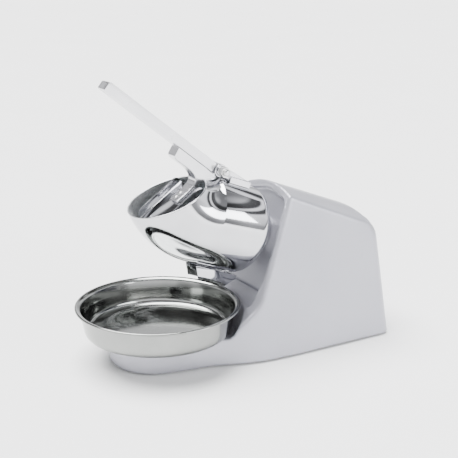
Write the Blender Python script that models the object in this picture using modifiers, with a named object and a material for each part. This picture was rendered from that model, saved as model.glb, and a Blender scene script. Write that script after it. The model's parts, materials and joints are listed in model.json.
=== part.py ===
"""Electric shaved ice machine: an aluminium housing with a deck for the ice bowl, a curved steel hopper on a
tilted drum axis, a motor-driven blade disc, and a hinged press lever. Metres, +Z up, front towards -Y, origin
on the ground under the middle of the machine."""

import math

import bmesh
import bpy
from mathutils import Matrix, Vector

MM = 0.001
GAP = 0.3 * MM

# Bowl: its rim diameter sets the size of everything else.
BOWL_RIM_R = 100 * MM
BOWL_Y = -96.5 * MM
BOWL_WALL = 1.2 * MM
BOWL_RIM_Z = 70 * MM

# Housing casting.
GROUND_CLEARANCE = 2.5 * MM
DECK_Z = 34 * MM
REAR_Y = 196.5 * MM
SIDE_LEAN = 0.19
NOSE_LEAN = 0.06
REAR_LEAN = 0.0442
CASTING_WALL = 4 * MM
CROWN_HEIGHT = 68.2 * MM
CROWN_R = 143 * MM

# Drum axis: it falls towards the rear by TILT and carries the hopper, the blade disc and the motor.
TILT = math.radians(21)
AXIS_ORIGIN = Vector((0, -36.9, 167.7)) * MM
DRUM_R = 55 * MM
HOPPER_WALL = 1.8 * MM
DRUM_END = 71 * MM
DRUM_CORNER_R = 14 * MM
POCKET_FLOOR = 87 * MM
MOUTH_R = 49.7 * MM
MOUTH_ANGLE = math.radians(20.5)
MOUTH_DISTANCE = 72 * MM

# Press lever: it turns about PIVOT, which lies on the plane where the drum's straight run starts.
PIVOT = Vector((0, -14.5, 226)) * MM
HANDLE_RISE = math.radians(38.5)
HANDLE_WIDTH = 20 * MM
HANDLE_UNDER = -7 * MM
HANDLE_OVER = 4.5 * MM
HANDLE_START = 9.5 * MM
HANDLE_END = 181 * MM
PUSHER_FALL = math.radians(35)
PUSHER_HALF_WIDTH = 31 * MM
PUSHER_START = 37 * MM
PUSHER_END = 105 * MM
PUSHER_UNDER = 3 * MM
PUSHER_OVER = 5 * MM
FLANGE_TOP = 14 * MM
HUB_HALF_WIDTH = 11 * MM
HUB_R = 8 * MM
EAR_INNER = 11.4 * MM
EAR_OUTER = 15.4 * MM
BOLT_R = 4 * MM

# Spindle stations, measured along the drum axis.
DISC_FRONT = 52 * MM
DISC_BACK = 58 * MM
DISC_R = 51 * MM
SHAFT_R = 6 * MM
MOTOR_FRONT = 91.8 * MM
STATOR_FRONT = 104 * MM
STATOR_BACK = 150 * MM
MOTOR_BACK = 161 * MM

STEPS_LARGE = 36
STEPS_SMALL = 16
STEPS_SCREW = 8


# ---------------------------------------------------------------- scene, collections, materials


def clear_scene():
    for obj in list(bpy.data.objects):
        bpy.data.objects.remove(obj, do_unlink=True)


def new_collection(name):
    collection = bpy.data.collections.new(name)
    bpy.context.scene.collection.children.link(collection)
    return collection


def finish(name, colour, roughness, metallic):
    material = bpy.data.materials.new(name)
    material.use_nodes = True
    shader = material.node_tree.nodes["Principled BSDF"]
    shader.inputs["Base Color"].default_value = (*colour, 1)
    shader.inputs["Roughness"].default_value = roughness
    shader.inputs["Metallic"].default_value = metallic
    material.diffuse_color = (*colour, 1)
    return material


clear_scene()
PARTS = new_collection("shaved_ice_machine")
CUTTERS = new_collection("cutters")
FINISHES = {
    "silver_paint": ((0.62, 0.62, 0.66), 0.38, 0.6),
    "polished_steel": ((0.80, 0.80, 0.79), 0.08, 1.0),
    "polished_aluminium": ((0.83, 0.83, 0.85), 0.25, 1.0),
    "plated_steel": ((0.60, 0.61, 0.62), 0.30, 1.0),
    "machined_steel": ((0.50, 0.50, 0.51), 0.35, 1.0),
    "lamination_steel": ((0.30, 0.31, 0.33), 0.50, 1.0),
    "copper": ((0.72, 0.38, 0.18), 0.35, 1.0),
    "brass": ((0.78, 0.62, 0.30), 0.30, 1.0),
    "black_rubber": ((0.03, 0.03, 0.03), 0.85, 0.0),
    "black_plastic": ((0.03, 0.03, 0.035), 0.40, 0.0),
    "white_plastic": ((0.80, 0.80, 0.78), 0.45, 0.0),
    "red_plastic": ((0.60, 0.03, 0.03), 0.35, 0.0),
    "blue_lead": ((0.05, 0.12, 0.45), 0.50, 0.0),
}
MATERIALS = {name: finish(name, *values) for name, values in FINISHES.items()}


def add(name, mesh, look, parent=None):
    """A part made of this mesh; no look makes it a cutter, which stays out of the model."""
    obj = bpy.data.objects.new(name, mesh)
    if look:
        PARTS.objects.link(obj)
        mesh.materials.clear()
        mesh.materials.append(MATERIALS[look])
    else:
        CUTTERS.objects.link(obj)
        obj.hide_render = True
        obj.display_type = "WIRE"
    if parent:
        obj.parent = parent
    return obj


def empty(name, location, rotation=(0, 0, 0)):
    obj = bpy.data.objects.new(name, None)
    obj.location = location
    obj.rotation_euler = rotation
    obj.empty_display_size = 0.03
    PARTS.objects.link(obj)
    return obj


# ---------------------------------------------------------------- frames

# Local Z runs rearward along the drum axis, local -Y is up from it.
AXIS_TURN = (-(math.pi / 2 + TILT), 0, 0)
DRUM_AXIS = empty("drum_axis", AXIS_ORIGIN, AXIS_TURN)
SPINDLE = empty("spindle_axis", AXIS_ORIGIN, AXIS_TURN)
LEVER = empty("lever_axis", PIVOT)

ALONG = Vector((0, math.cos(TILT), -math.sin(TILT)))
UP = Vector((0, math.sin(TILT), math.cos(TILT)))
SIDE_VIEW = Matrix(((0, 0, 1, 0), (1, 0, 0, 0), (0, 1, 0, 0), (0, 0, 0, 1)))
PLAN_VIEW = Matrix.Identity(4)


def basis(x_axis, y_axis, origin=(0, 0, 0)):
    """The matrix whose local X and Y are these directions."""
    z_axis = Vector(x_axis).cross(Vector(y_axis))
    turn = Matrix((x_axis, y_axis, z_axis)).transposed().to_4x4()
    return Matrix.Translation(origin) @ turn


# Outlines in (x, height) across the drum axis, extruded towards the front along local Z.
ACROSS_AXIS = basis((1, 0, 0), UP, AXIS_ORIGIN)
# Outlines in (distance along, height above) the drum axis, extruded along -X.
BESIDE_AXIS = basis(ALONG, UP, AXIS_ORIGIN)
# The same for the pusher and the handle, with the lever's pivot as the origin.
PUSHER_LINE = basis(
    (0, -math.cos(PUSHER_FALL), -math.sin(PUSHER_FALL)),
    (0, -math.sin(PUSHER_FALL), math.cos(PUSHER_FALL)),
)
HANDLE_LINE = basis(
    (0, -math.cos(HANDLE_RISE), math.sin(HANDLE_RISE)),
    (0, math.sin(HANDLE_RISE), math.cos(HANDLE_RISE)),
)


# ---------------------------------------------------------------- shapes


def mm(points):
    return [tuple(value * MM for value in point) for point in points]


def rounded(corners, steps=4):
    """Outline from corners (x, y, radius), with an arc of that radius in each corner."""
    outline = []
    count = len(corners)
    for index, (x, y, radius) in enumerate(corners):
        corner = Vector((x, y))
        before = Vector(corners[index - 1][:2]) - corner
        after = Vector(corners[(index + 1) % count][:2]) - corner
        if radius == 0:
            outline.append((x, y))
            continue
        half = before.angle(after) / 2
        centre = corner + (before.normalized() + after.normalized()).normalized() * radius / math.sin(half)
        first = corner + before.normalized() * radius / math.tan(half) - centre
        last = corner + after.normalized() * radius / math.tan(half) - centre
        for step in range(steps + 1):
            spoke = first.lerp(last, step / steps).normalized() * radius
            outline.append(tuple(centre + spoke))
    return outline


def catmull_rom(p, q, r, s, t):
    """The value at a share t of the way from q to r, with neighbours p and s."""
    slope = (r - p) * t
    bend = (2 * p - 5 * q + 4 * r - s) * t**2
    twist = (3 * q - p - 3 * r + s) * t**3
    return (2 * q + slope + bend + twist) / 2


def smooth_line(points, steps):
    """A Catmull-Rom curve through the points."""
    ends = [points[0], *points, points[-1]]
    line = []
    for near in zip(ends, ends[1:], ends[2:], ends[3:]):
        for step in range(steps):
            line.append(tuple(catmull_rom(*values, step / steps) for values in zip(*near)))
    return [*line, points[-1]]


def mesh_of(obj):
    """The welded mesh of an object, which is removed."""
    bpy.context.view_layer.update()
    graph = bpy.context.evaluated_depsgraph_get()
    mesh = bpy.data.meshes.new_from_object(obj.evaluated_get(graph))
    mesh.transform(obj.matrix_world)
    bm = bmesh.new()
    bm.from_mesh(mesh)
    bmesh.ops.remove_doubles(bm, verts=bm.verts, dist=0.00001)
    bm.to_mesh(mesh)
    bm.free()
    bpy.data.objects.remove(obj, do_unlink=True)
    return mesh


def plate_mesh(outline, low, high, view):
    """A flat outline of the view's XY plane, thick from low to high along its Z."""
    curve = bpy.data.curves.new("outline", "CURVE")
    curve.dimensions = "2D"
    curve.fill_mode = "BOTH"
    curve.extrude = (high - low) / 2
    spline = curve.splines.new("POLY")
    spline.points.add(len(outline) - 1)
    for point, (x, y) in zip(spline.points, outline):
        point.co = (x, y, 0, 1)
    spline.use_cyclic_u = True
    obj = bpy.data.objects.new("outline", curve)
    bpy.context.scene.collection.objects.link(obj)
    obj.matrix_world = view @ Matrix.Translation((0, 0, (low + high) / 2))
    return mesh_of(obj)


def plate(name, outline, low, high, view, look=None, parent=None):
    return add(name, plate_mesh(outline, low, high, view), look, parent)


def from_bmesh(bm, name):
    mesh = bpy.data.meshes.new(name)
    bmesh.ops.recalc_face_normals(bm, faces=bm.faces)
    bm.to_mesh(mesh)
    bm.free()
    return mesh


def box(name, low, high, look=None, parent=None, view=None):
    """A box between two corners of the view's frame."""
    size = Vector(high) - Vector(low)
    centre = (Vector(high) + Vector(low)) / 2
    bm = bmesh.new()
    place = Matrix.Translation(centre) @ Matrix.Diagonal((*size, 1))
    bmesh.ops.create_cube(bm, size=1, matrix=(view or PLAN_VIEW) @ place)
    return add(name, from_bmesh(bm, name), look, parent)


def rods(name, radius, low, high, places, look=None, parent=None, view=None, sides=STEPS_SCREW):
    """Equal cylinders from low to high along the view's Z, one at each (x, y)."""
    bm = bmesh.new()
    # A small turn keeps a hole's corners off the edges of the turned parts that it passes through.
    turn = Matrix.Rotation(0.13 if sides != 6 else 0, 4, "Z")
    for x, y in places:
        place = Matrix.Translation((x, y, (low + high) / 2)) @ turn
        bmesh.ops.create_cone(
            bm,
            cap_ends=True,
            segments=sides,
            radius1=radius,
            radius2=radius,
            depth=high - low,
            matrix=(view or PLAN_VIEW) @ place,
        )
    return add(name, from_bmesh(bm, name), look, parent)


def turned(name, profile, look=None, parent=None, steps=STEPS_SMALL, closed=True):
    """A profile of (radius, z) points turned about Z. It runs down its outer side."""
    count = len(profile)
    edges = [(i, i + 1) for i in range(count - 1)]
    if closed:
        edges.append((count - 1, 0))
    mesh = bpy.data.meshes.new(name)
    mesh.from_pydata([(r, 0, z) for r, z in profile], edges, [])
    obj = add(name, mesh, look, parent)
    screw = obj.modifiers.new("turn", "SCREW")
    screw.steps = steps
    screw.render_steps = steps
    screw.use_merge_vertices = True
    screw.merge_threshold = 0.00001
    screw.use_smooth_shade = True
    return obj


def loft(rings):
    """A closed skin over rings of equal point counts, with its first and last ring filled."""
    bm = bmesh.new()
    rows = [[bm.verts.new(point) for point in ring] for ring in rings]
    count = len(rows[0])
    for near, far in zip(rows, rows[1:]):
        for i in range(count):
            j = (i + 1) % count
            bm.faces.new((near[i], near[j], far[j], far[i]))
    bm.faces.new(rows[0])
    bm.faces.new(rows[-1])
    return from_bmesh(bm, "loft")


def boolean(target, operation, others):
    for other in others:
        modifier = target.modifiers.new(f"{operation.lower()} {other.name}", "BOOLEAN")
        modifier.operation = operation
        modifier.solver = "EXACT"
        modifier.object = other


def cut(target, *cutters):
    boolean(target, "DIFFERENCE", cutters)


def join(target, *others):
    boolean(target, "UNION", others)


def common(target, *others):
    boolean(target, "INTERSECT", others)


def fasteners(name, places, head_r, head_h, shank_r, length, look="plated_steel", parent=None):
    """Equal domed screws. Each place is a matrix with the head's underside at its origin, facing +Z."""
    profile = [
        (0, head_h),
        (head_r * 0.6, head_h * 0.85),
        (head_r, head_h * 0.3),
        (head_r, 0),
        (shank_r, 0),
        (shank_r, -length),
        (0, -length),
    ]
    mesh = mesh_of(turned(name, profile, steps=STEPS_SCREW, closed=False))
    for index, place in enumerate(places, 1):
        screw = add(f"{name}_{index}", mesh, look, parent)
        screw.matrix_local = place


def ring_places(radius, count, start=0.0):
    """Points evenly round a circle, from the start angle in degrees."""
    angles = [math.radians(start + 360 * i / count) for i in range(count)]
    return [(radius * math.cos(a), radius * math.sin(a)) for a in angles]


def facing_front(x, y, z):
    """A screw on the drum axis frame whose head faces the front."""
    return Matrix.Translation((x, y, z)) @ Matrix.Rotation(math.pi, 4, "X")


# ---------------------------------------------------------------- housing casting

# Half of the plan outline, from the nose to the rear corner.
PLAN_SIDE = mm(
    [
        (0, -156.5),
        (15, -155),
        (28, -150),
        (41, -140.5),
        (51, -126),
        (56.5, -107),
        (60.5, -86),
        (64.5, -60),
        (71.5, -38),
        (79, -16),
        (84, 8),
        (86.3, 45),
        (87, 100),
        (87, 150),
        (86.3, 178),
    ]
)
REAR_CORNER_R = 14 * MM
REAR_SPARE = 2 * MM


def plan_half(inset):
    """Half outline as (x, y), moved inwards by inset, with the rear corner's arc."""
    side = smooth_line(PLAN_SIDE, 2)
    rear = REAR_Y + REAR_SPARE
    corner_x = PLAN_SIDE[-1][0] - REAR_CORNER_R
    for step in range(1, 5):
        angle = math.pi / 2 * step / 4
        side.append(
            (corner_x + REAR_CORNER_R * math.cos(angle), rear - REAR_CORNER_R * (1 - math.sin(angle)))
        )
    moved = []
    for index, (x, y) in enumerate(side):
        before = side[max(index - 1, 0)]
        after = side[min(index + 1, len(side) - 1)]
        run = Vector(after) - Vector(before)
        if index == 0:
            run = Vector((1, 0))
        if index == len(side) - 1:
            run = Vector((-1, 0))
        inward = Vector((-run.y, run.x)).normalized() * inset
        moved.append((max(x + inward.x, 0), y + inward.y))
    return moved


def plan_ring(inset, z):
    """The housing's section at a height: the sides, the nose and the rear lean inwards as they rise."""
    half = []
    for x, y in plan_half(inset):
        rearward = min(max((y + 0.110) / 0.110, 0), 1)
        lean = NOSE_LEAN + (SIDE_LEAN - NOSE_LEAN) * rearward * rearward * (3 - 2 * rearward)
        nose = max(0, (-0.100 - y) / 0.0565)
        tail = max(0, (y - 0.150) / 0.0465)
        # The lean along X fades out where the outline turns to run across the machine.
        share = min(1, x / (40 * MM))
        shifted_x = x - lean * z * share
        shifted_y = y + NOSE_LEAN * z * min(nose, 1) - REAR_LEAN * z * min(tail, 1)
        half.append((shifted_x, shifted_y, z))
    mirrored = [(-x, y, z) for x, y, z in reversed(half) if x > 0.1 * MM]
    return half + mirrored


def housing_side_view():
    """Outline in (y, z): the deck, the sweep up behind the bowl, the face, the roof and the rear."""
    corners = [
        (-180, -20, 0),
        (-180, 38, 0),
        (-38, 38, 6),
        (-24, 46, 0),
        (-10, 56.5, 0),
        (3.5, 66, 6),
        (10, 77, 0),
        (61.5, 198, 0),
        (61.5, 207, 0),
        (190, 157.5, 13),
        (197.4, -20, 0),
    ]
    return rounded([tuple(value * MM for value in corner) for corner in corners])


def crown(height):
    """Outline across the drum axis: an arched top over straight sides."""
    half_width = 100 * MM
    centre = height - CROWN_R
    spread = math.asin(half_width / CROWN_R)
    arch = []
    for step in range(-6, 7):
        angle = spread * step / 6
        arch.append((CROWN_R * math.sin(angle), centre + CROWN_R * math.cos(angle)))
    return [(-half_width, -0.30), *arch, (half_width, -0.30)]


def bowl_recess():
    """The round recess that the bowl stands in, with its concave wall behind the bowl."""
    above = mm([(0, 110), (107.5, 110), (107.5, 78), (104.5, 62)])
    below = mm([(101, 50), (96.5, 40), (91.5, 34.3), (90, 34)])
    wall = [*above, *below]
    recess = turned("bowl_recess", [*wall, (0, DECK_Z)], steps=64, closed=False)
    recess.location = (0, BOWL_Y, 0)
    # The turn keeps the recess's facets off the nose's middle edge.
    recess.rotation_euler = (0, 0, 0.03)
    return recess


def face_pocket():
    """The recess in the housing's front face, inside a lip."""
    half = [(52, -64, 10), (58, -52, 10), (43, 52, 12)]
    corners = [*half, (0, 61, 60), *((-x, y, radius) for x, y, radius in reversed(half))]
    outline = rounded([tuple(value * MM for value in corner) for corner in corners])
    return plate("face_pocket", outline, -POCKET_FLOOR, -55 * MM, ACROSS_AXIS)


def apron():
    """The slope from the pocket's floor down to the bowl recess."""
    corners = mm([(-10, 61), (5.5, 63.2), (12, 69), (18.5, 80), (23, 92), (0, 110)])
    return plate("apron", corners, -54 * MM, 54 * MM, SIDE_VIEW)


BOSSES = mm([(30, -122), (-30, -122), (71, 172), (-71, 172)])
REAR_TURN = Matrix.Rotation(math.atan(REAR_LEAN), 4, "X")
REAR_FACE = Matrix.Translation((0, REAR_Y, GROUND_CLEARANCE)) @ REAR_TURN @ basis((-1, 0, 0), (0, 0, 1))
SWITCH_CENTRE = (-32 * MM, 62 * MM)
SWITCH_HALF = (10 * MM, 14 * MM)
INLET_CENTRE = (22 * MM, 62 * MM)
INLET_HALF = (14 * MM, 10 * MM)


def rear_opening(name, centre, half):
    low = (centre[0] - half[0], centre[1] - half[1], -15 * MM)
    high = (centre[0] + half[0], centre[1] + half[1], 15 * MM)
    return box(name, low, high, view=REAR_FACE)


def body_casting():
    top = 230 * MM
    obj = add(
        "body_casting",
        loft([plan_ring(0, GROUND_CLEARANCE), plan_ring(0, 36 * MM), plan_ring(0, top)]),
        "silver_paint",
    )
    side_view = plate("housing_side_view", housing_side_view(), -0.11, 0.11, SIDE_VIEW)
    arch = plate("housing_crown", crown(CROWN_HEIGHT), -0.30, 0.25, ACROSS_AXIS)
    common(obj, side_view, arch)
    cut(obj, bowl_recess(), face_pocket(), apron())

    inner_rings = [plan_ring(CASTING_WALL, -5 * MM), plan_ring(CASTING_WALL, top)]
    inside = add("housing_inside", loft(inner_rings), None)
    corners = [
        (-170, -20, 0),
        (-170, 29.5, 0),
        (14.5, 29.5, 0),
        (15, 60, 0),
        (26, 78, 0),
        (30, 86, 0),
        (71.5, 194, 0),
        (186.5, 153, 12),
        (194, -20, 0),
    ]
    outline = rounded([tuple(value * MM for value in corner) for corner in corners])
    inside_view = plate("inside_side_view", outline, -0.12, 0.12, SIDE_VIEW)
    inside_arch = plate("inside_crown", crown(CROWN_HEIGHT - CASTING_WALL), -0.31, 0.26, ACROSS_AXIS)
    common(inside, inside_view, inside_arch)
    cut(obj, inside)

    front = rods("front_bosses", 5.5 * MM, 5.4 * MM, 31 * MM, BOSSES[:2], sides=12)
    sides = rods("side_bosses", 5.5 * MM, 5.4 * MM, 26 * MM, BOSSES[2:], sides=12)
    webs = rear_boss_webs()
    join(obj, front, sides, webs)
    cut(
        obj,
        rods("boss_bores", 1.7 * MM, 2 * MM, 20 * MM, BOSSES),
        SEAL_HOLE,
        HOPPER_SCREW_HOLES,
        rear_opening("switch_opening", SWITCH_CENTRE, SWITCH_HALF),
        rear_opening("inlet_opening", INLET_CENTRE, INLET_HALF),
    )
    return obj


def rear_boss_webs():
    """Short webs that tie the rear bosses to the side walls."""
    bm = bmesh.new()
    for x, y in BOSSES[2:]:
        centre = (x * 1.05, y, 14.7 * MM)
        place = Matrix.Translation(centre) @ Matrix.Diagonal((11 * MM, 5 * MM, 16 * MM, 1))
        bmesh.ops.create_cube(bm, size=1, matrix=place)
    return add("boss_webs", from_bmesh(bm, "boss_webs"), None)


# ---------------------------------------------------------------- base plate and feet

PLATE_LOW = 3 * MM
PLATE_HIGH = 5 * MM
FEET = {
    "foot_front_left": (-34, -104),
    "foot_front_right": (34, -104),
    "foot_rear_left": (-62, 150),
    "foot_rear_right": (62, 150),
}


def base_plate():
    rear = REAR_Y - CASTING_WALL - 0.8 * MM
    outline = [(x, min(y, rear)) for x, y, _ in plan_ring(CASTING_WALL + 0.6 * MM, PLATE_HIGH)]
    obj = plate("base_plate", outline, PLATE_LOW, PLATE_HIGH, PLAN_VIEW, "plated_steel")
    bm = bmesh.new()
    for row in range(7):
        place = Matrix.Translation((0, (84 + 9 * row) * MM, PLATE_LOW))
        bmesh.ops.create_cube(bm, size=1, matrix=place @ Matrix.Diagonal((60 * MM, 4 * MM, 10 * MM, 1)))
    slots = add("vent_slots", from_bmesh(bm, "vent_slots"), None)
    foot_holes = rods("foot_stem_holes", 3.3 * MM, 0, 10 * MM, mm(FEET.values()), sides=STEPS_SMALL)
    plate_holes = rods("plate_screw_holes", 1.9 * MM, 0, 10 * MM, BOSSES)
    cut(obj, slots, foot_holes, plate_holes)
    flipped = Matrix.Rotation(math.pi, 4, "X")
    places = [Matrix.Translation((x, y, PLATE_LOW - GAP)) @ flipped for x, y in BOSSES]
    fasteners("base_plate_screw", places, 3.2 * MM, 1.6 * MM, 1.4 * MM, 13 * MM)
    for name, (x, y) in FEET.items():
        profile = mm([(0, 8), (2.6, 8), (3, 7), (3, 2.7), (10, 2.7), (9, 0), (0, 0)])
        foot = turned(name, profile, "black_rubber", steps=STEPS_SMALL, closed=False)
        foot.location = (x * MM, y * MM, 0)


# ---------------------------------------------------------------- bowl


def ice_bowl():
    profile = mm(
        [
            (0, 35.8),
            (80, 35.8),
            (85.5, 37.2),
            (88.6, 41.5),
            (89.6, 48),
            (92.6, 66.5),
            (96, 69.2),
            (98.5, 70),
            (100, 68.7),
            (99.3, 67.2),
            (96, 67.2),
            (94.1, 65.2),
            (90.9, 48),
            (89.9, 41),
            (86.4, 36),
            (80.5, 34.5),
            (0, 34.5),
        ]
    )
    bowl = turned("ice_bowl", profile, "polished_steel", steps=STEPS_LARGE + 8, closed=False)
    bowl.location = (0, BOWL_Y, 0)


# ---------------------------------------------------------------- hopper, collar and chute


def hopper_rings(wall):
    """Circles from the mouth round the bend and along the drum to its rounded rear end."""
    rings = []
    circle = ring_places(1, STEPS_LARGE)
    bend_end = math.pi / 2 - TILT
    drum_distance = (PIVOT - AXIS_ORIGIN).dot(UP)
    for step in range(7):
        share = step / 6
        angle = MOUTH_ANGLE + (bend_end - MOUTH_ANGLE) * share
        outward = Vector((0, -math.cos(angle), -math.sin(angle)))
        centre = PIVOT + outward * (MOUTH_DISTANCE + (drum_distance - MOUTH_DISTANCE) * share)
        radius = MOUTH_R + (DRUM_R - MOUTH_R) * share - wall
        rings.append([centre + Vector((radius * c, 0, 0)) - outward * radius * s for c, s in circle])
    corner = DRUM_CORNER_R - wall
    for step in range(5):
        angle = math.pi / 2 * step / 4
        station = DRUM_END - DRUM_CORNER_R + corner * math.sin(angle)
        radius = DRUM_R - DRUM_CORNER_R + corner * math.cos(angle)
        centre = AXIS_ORIGIN + ALONG * station
        rings.append([centre + Vector((radius * c, 0, 0)) + UP * radius * s for c, s in circle])
    return rings


def hopper():
    outer = hopper_rings(0)
    inner = hopper_rings(HOPPER_WALL)
    obj = add("hopper", loft([*reversed(outer), *inner]), "polished_steel")
    arm_slot = box("arm_slot", *mm([(-40, 40, -12.2), (9, 80, 12.2)]), view=BESIDE_AXIS)
    ice_slot = box("ice_slot", *mm([(59.5, -62, -12), (66.5, -44, 12)]), view=BESIDE_AXIS)
    shaft_hole = rods("shaft_hole", 10 * MM, 60 * MM, 80 * MM, [(0, 0)], parent=DRUM_AXIS, sides=STEPS_SMALL)
    cut(obj, arm_slot, ice_slot, shaft_hole, HOPPER_SCREW_HOLES, BRACKET_SCREW_HOLES)


HOPPER_SCREWS = ring_places(21 * MM, 3, -90)
TIE_SCREWS = ring_places(35.4 * MM, 2, 40)
SEAL_HOLE = rods("seal_hole", 11.3 * MM, 80 * MM, 95 * MM, [(0, 0)], parent=DRUM_AXIS, sides=STEPS_SMALL)
HOPPER_SCREW_HOLES = rods("hopper_screw_holes", 2.4 * MM, 60 * MM, 99 * MM, HOPPER_SCREWS, parent=DRUM_AXIS)
TIE_SCREW_HOLES = rods("tie_screw_holes", 2.1 * MM, 99 * MM, 165 * MM, TIE_SCREWS, parent=DRUM_AXIS)


def hopper_collar():
    profile = [
        (28 * MM, POCKET_FLOOR - GAP),
        (28 * MM, DRUM_END + GAP),
        (14 * MM, DRUM_END + GAP),
        (14 * MM, POCKET_FLOOR - GAP),
    ]
    collar = turned("hopper_collar", profile, "polished_aluminium", DRUM_AXIS, steps=32)
    cut(collar, HOPPER_SCREW_HOLES)
    head = DRUM_END - HOPPER_WALL - GAP
    places = [facing_front(x, y, head) for x, y in HOPPER_SCREWS]
    fasteners("hopper_screw", places, 4 * MM, 2.8 * MM, 2 * MM, 28 * MM, parent=DRUM_AXIS)


def outlet_chute():
    """Hood under the drum: two side walls and a sloped back that throws the ice forward into the bowl."""
    outer = mm([(6, -55.6), (68, -55.6), (68, -60), (55, -73), (16, -73)])
    inner = mm([(-5, -50), (66.2, -50), (66.2, -59.3), (46, -79.5), (-5, -79.5)])
    chute = plate("outlet_chute", outer, -14.5 * MM, 14.5 * MM, BESIDE_AXIS, "polished_steel")
    cut(chute, plate("chute_passage", inner, -13 * MM, 13 * MM, BESIDE_AXIS))


# ---------------------------------------------------------------- hinge bracket and pivot

BRACKET_SCREWS = mm([(20, 0), (35, 0)])
RADIAL_VIEW = BESIDE_AXIS @ Matrix(((1, 0, 0, 0), (0, 0, 1, 0), (0, -1, 0, 0), (0, 0, 0, 1)))
BRACKET_SCREW_HOLES = rods("bracket_screw_holes", 2.4 * MM, 45 * MM, 70 * MM, BRACKET_SCREWS, view=RADIAL_VIEW)
BRACKET_TOP = 59.5 * MM
BRACKET_PIVOT = ((PIVOT - AXIS_ORIGIN).dot(ALONG), (PIVOT - AXIS_ORIGIN).dot(UP))


def ear_outline():
    """Side view of a bracket ear: a round eye on the pivot, tapering down to the saddle."""
    eye_x, eye_y = BRACKET_PIVOT
    radius = 6.6 * MM
    eye = []
    for step in range(13):
        angle = math.radians(65 + 205 * step / 12)
        eye.append((eye_x + radius * math.cos(angle), eye_y + radius * math.sin(angle)))
    return [*eye, *mm([(14, 56), (40, 56), (40, 60.5), (26, 63)])]


def hinge_bracket():
    saddle = [(12 * MM, 45 * MM, -19 * MM), (42 * MM, BRACKET_TOP, 19 * MM)]
    bracket = box("hinge_bracket", *saddle, "polished_aluminium", view=BESIDE_AXIS)
    ears = [
        plate("left_ear", ear_outline(), EAR_INNER, EAR_OUTER, BESIDE_AXIS),
        plate("right_ear", ear_outline(), -EAR_OUTER, -EAR_INNER, BESIDE_AXIS),
    ]
    drum = rods("drum_clearance", DRUM_R + GAP, -0.02, 0.06, [(0, 0)], parent=DRUM_AXIS, sides=STEPS_LARGE)
    bore = rods("pivot_bore", BOLT_R + GAP, -0.03, 0.03, [(0, 0)], parent=LEVER, view=SIDE_VIEW, sides=16)
    join(bracket, *ears)
    cut(bracket, drum, bore, BRACKET_SCREW_HOLES)
    places = [
        RADIAL_VIEW @ Matrix.Translation((x, y, BRACKET_TOP + GAP)) for x, y in BRACKET_SCREWS
    ]
    fasteners("bracket_screw", places, 4 * MM, 2.4 * MM, 2 * MM, 8.5 * MM)


def pivot_pin():
    """Bolt from the left, with a washer under its head and a washer and nut on the right."""
    washer_low = EAR_OUTER + GAP
    washer_high = washer_low + 1.4 * MM
    nut_low = washer_high + GAP
    head = nut_low
    view = Matrix.Translation(PIVOT) @ SIDE_VIEW
    profile = [(0, 28 * MM), (3 * MM, 27.4 * MM), (BOLT_R, 26 * MM), (BOLT_R, -head), (6.4 * MM, -head)]
    profile += [(6.4 * MM, -head - 3.4 * MM), (4.4 * MM, -head - 5 * MM), (0, -head - 5.4 * MM)]
    bolt = turned("pivot_bolt", profile, "plated_steel", LEVER, steps=16, closed=False)
    bolt.rotation_euler = (0, math.pi / 2, 0)
    bore = rods("nut_bore", BOLT_R + GAP, -0.05, 0.05, [(0, 0)], view=view, sides=16)
    nut = rods("pivot_nut", 6.6 * MM, nut_low, nut_low + 6 * MM, [(0, 0)], "plated_steel", view=view, sides=6)
    cut(nut, bore)
    for name, side in (("pivot_washer_right", 1), ("pivot_washer_left", -1)):
        low, high = sorted((side * washer_low, side * washer_high))
        washer = rods(name, 6.4 * MM, low, high, [(0, 0)], "plated_steel", view=view, sides=16)
        cut(washer, bore)


# ---------------------------------------------------------------- lever, handle and pusher


def on_line(line, points):
    """Side-view (y, z) places of points given along and above the pusher's or the handle's line."""
    return [(place.y, place.z) for place in (line @ Vector((a, b, 0)) for a, b in mm(points))]


def lever_arm():
    """Casting that carries the handle on top and the pusher underneath, with its hub on the pivot."""
    top = on_line(HANDLE_LINE, [(0, -7.3), (64, -7.3)])
    nose = mm([(-61, 24), (-60, 21.5), (-49, 12), (-39, 4), (-33.5, -3), (-32.5, -9), (-36, -13.5)])
    toe = on_line(PUSHER_LINE, [(49, 8.5), (66, 8.5), (66, 5.3), (30.5, 5.3), (24, 2), (10, -5.5), (0, -7.3)])
    web = plate("lever_arm", [*top, *nose, *toe], -9 * MM, 9 * MM, SIDE_VIEW, "polished_aluminium", LEVER)
    ends = (-HUB_HALF_WIDTH, HUB_HALF_WIDTH)
    hub = rods("lever_hub", HUB_R, *ends, [(0, 0)], parent=LEVER, view=SIDE_VIEW, sides=24)
    bore = rods("lever_bore", 5.4 * MM, -0.02, 0.02, [(0, 0)], parent=LEVER, view=SIDE_VIEW, sides=16)
    join(web, hub)
    cut(web, bore, HANDLE_SCREW_HOLES, PUSHER_SCREW_HOLES)
    bush = [
        (5.1 * MM, HUB_HALF_WIDTH),
        (5.1 * MM, -HUB_HALF_WIDTH),
        (BOLT_R + GAP, -HUB_HALF_WIDTH),
        (BOLT_R + GAP, HUB_HALF_WIDTH),
    ]
    obj = turned("lever_bush", bush, "brass", LEVER, steps=16)
    obj.rotation_euler = (0, math.pi / 2, 0)


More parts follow.
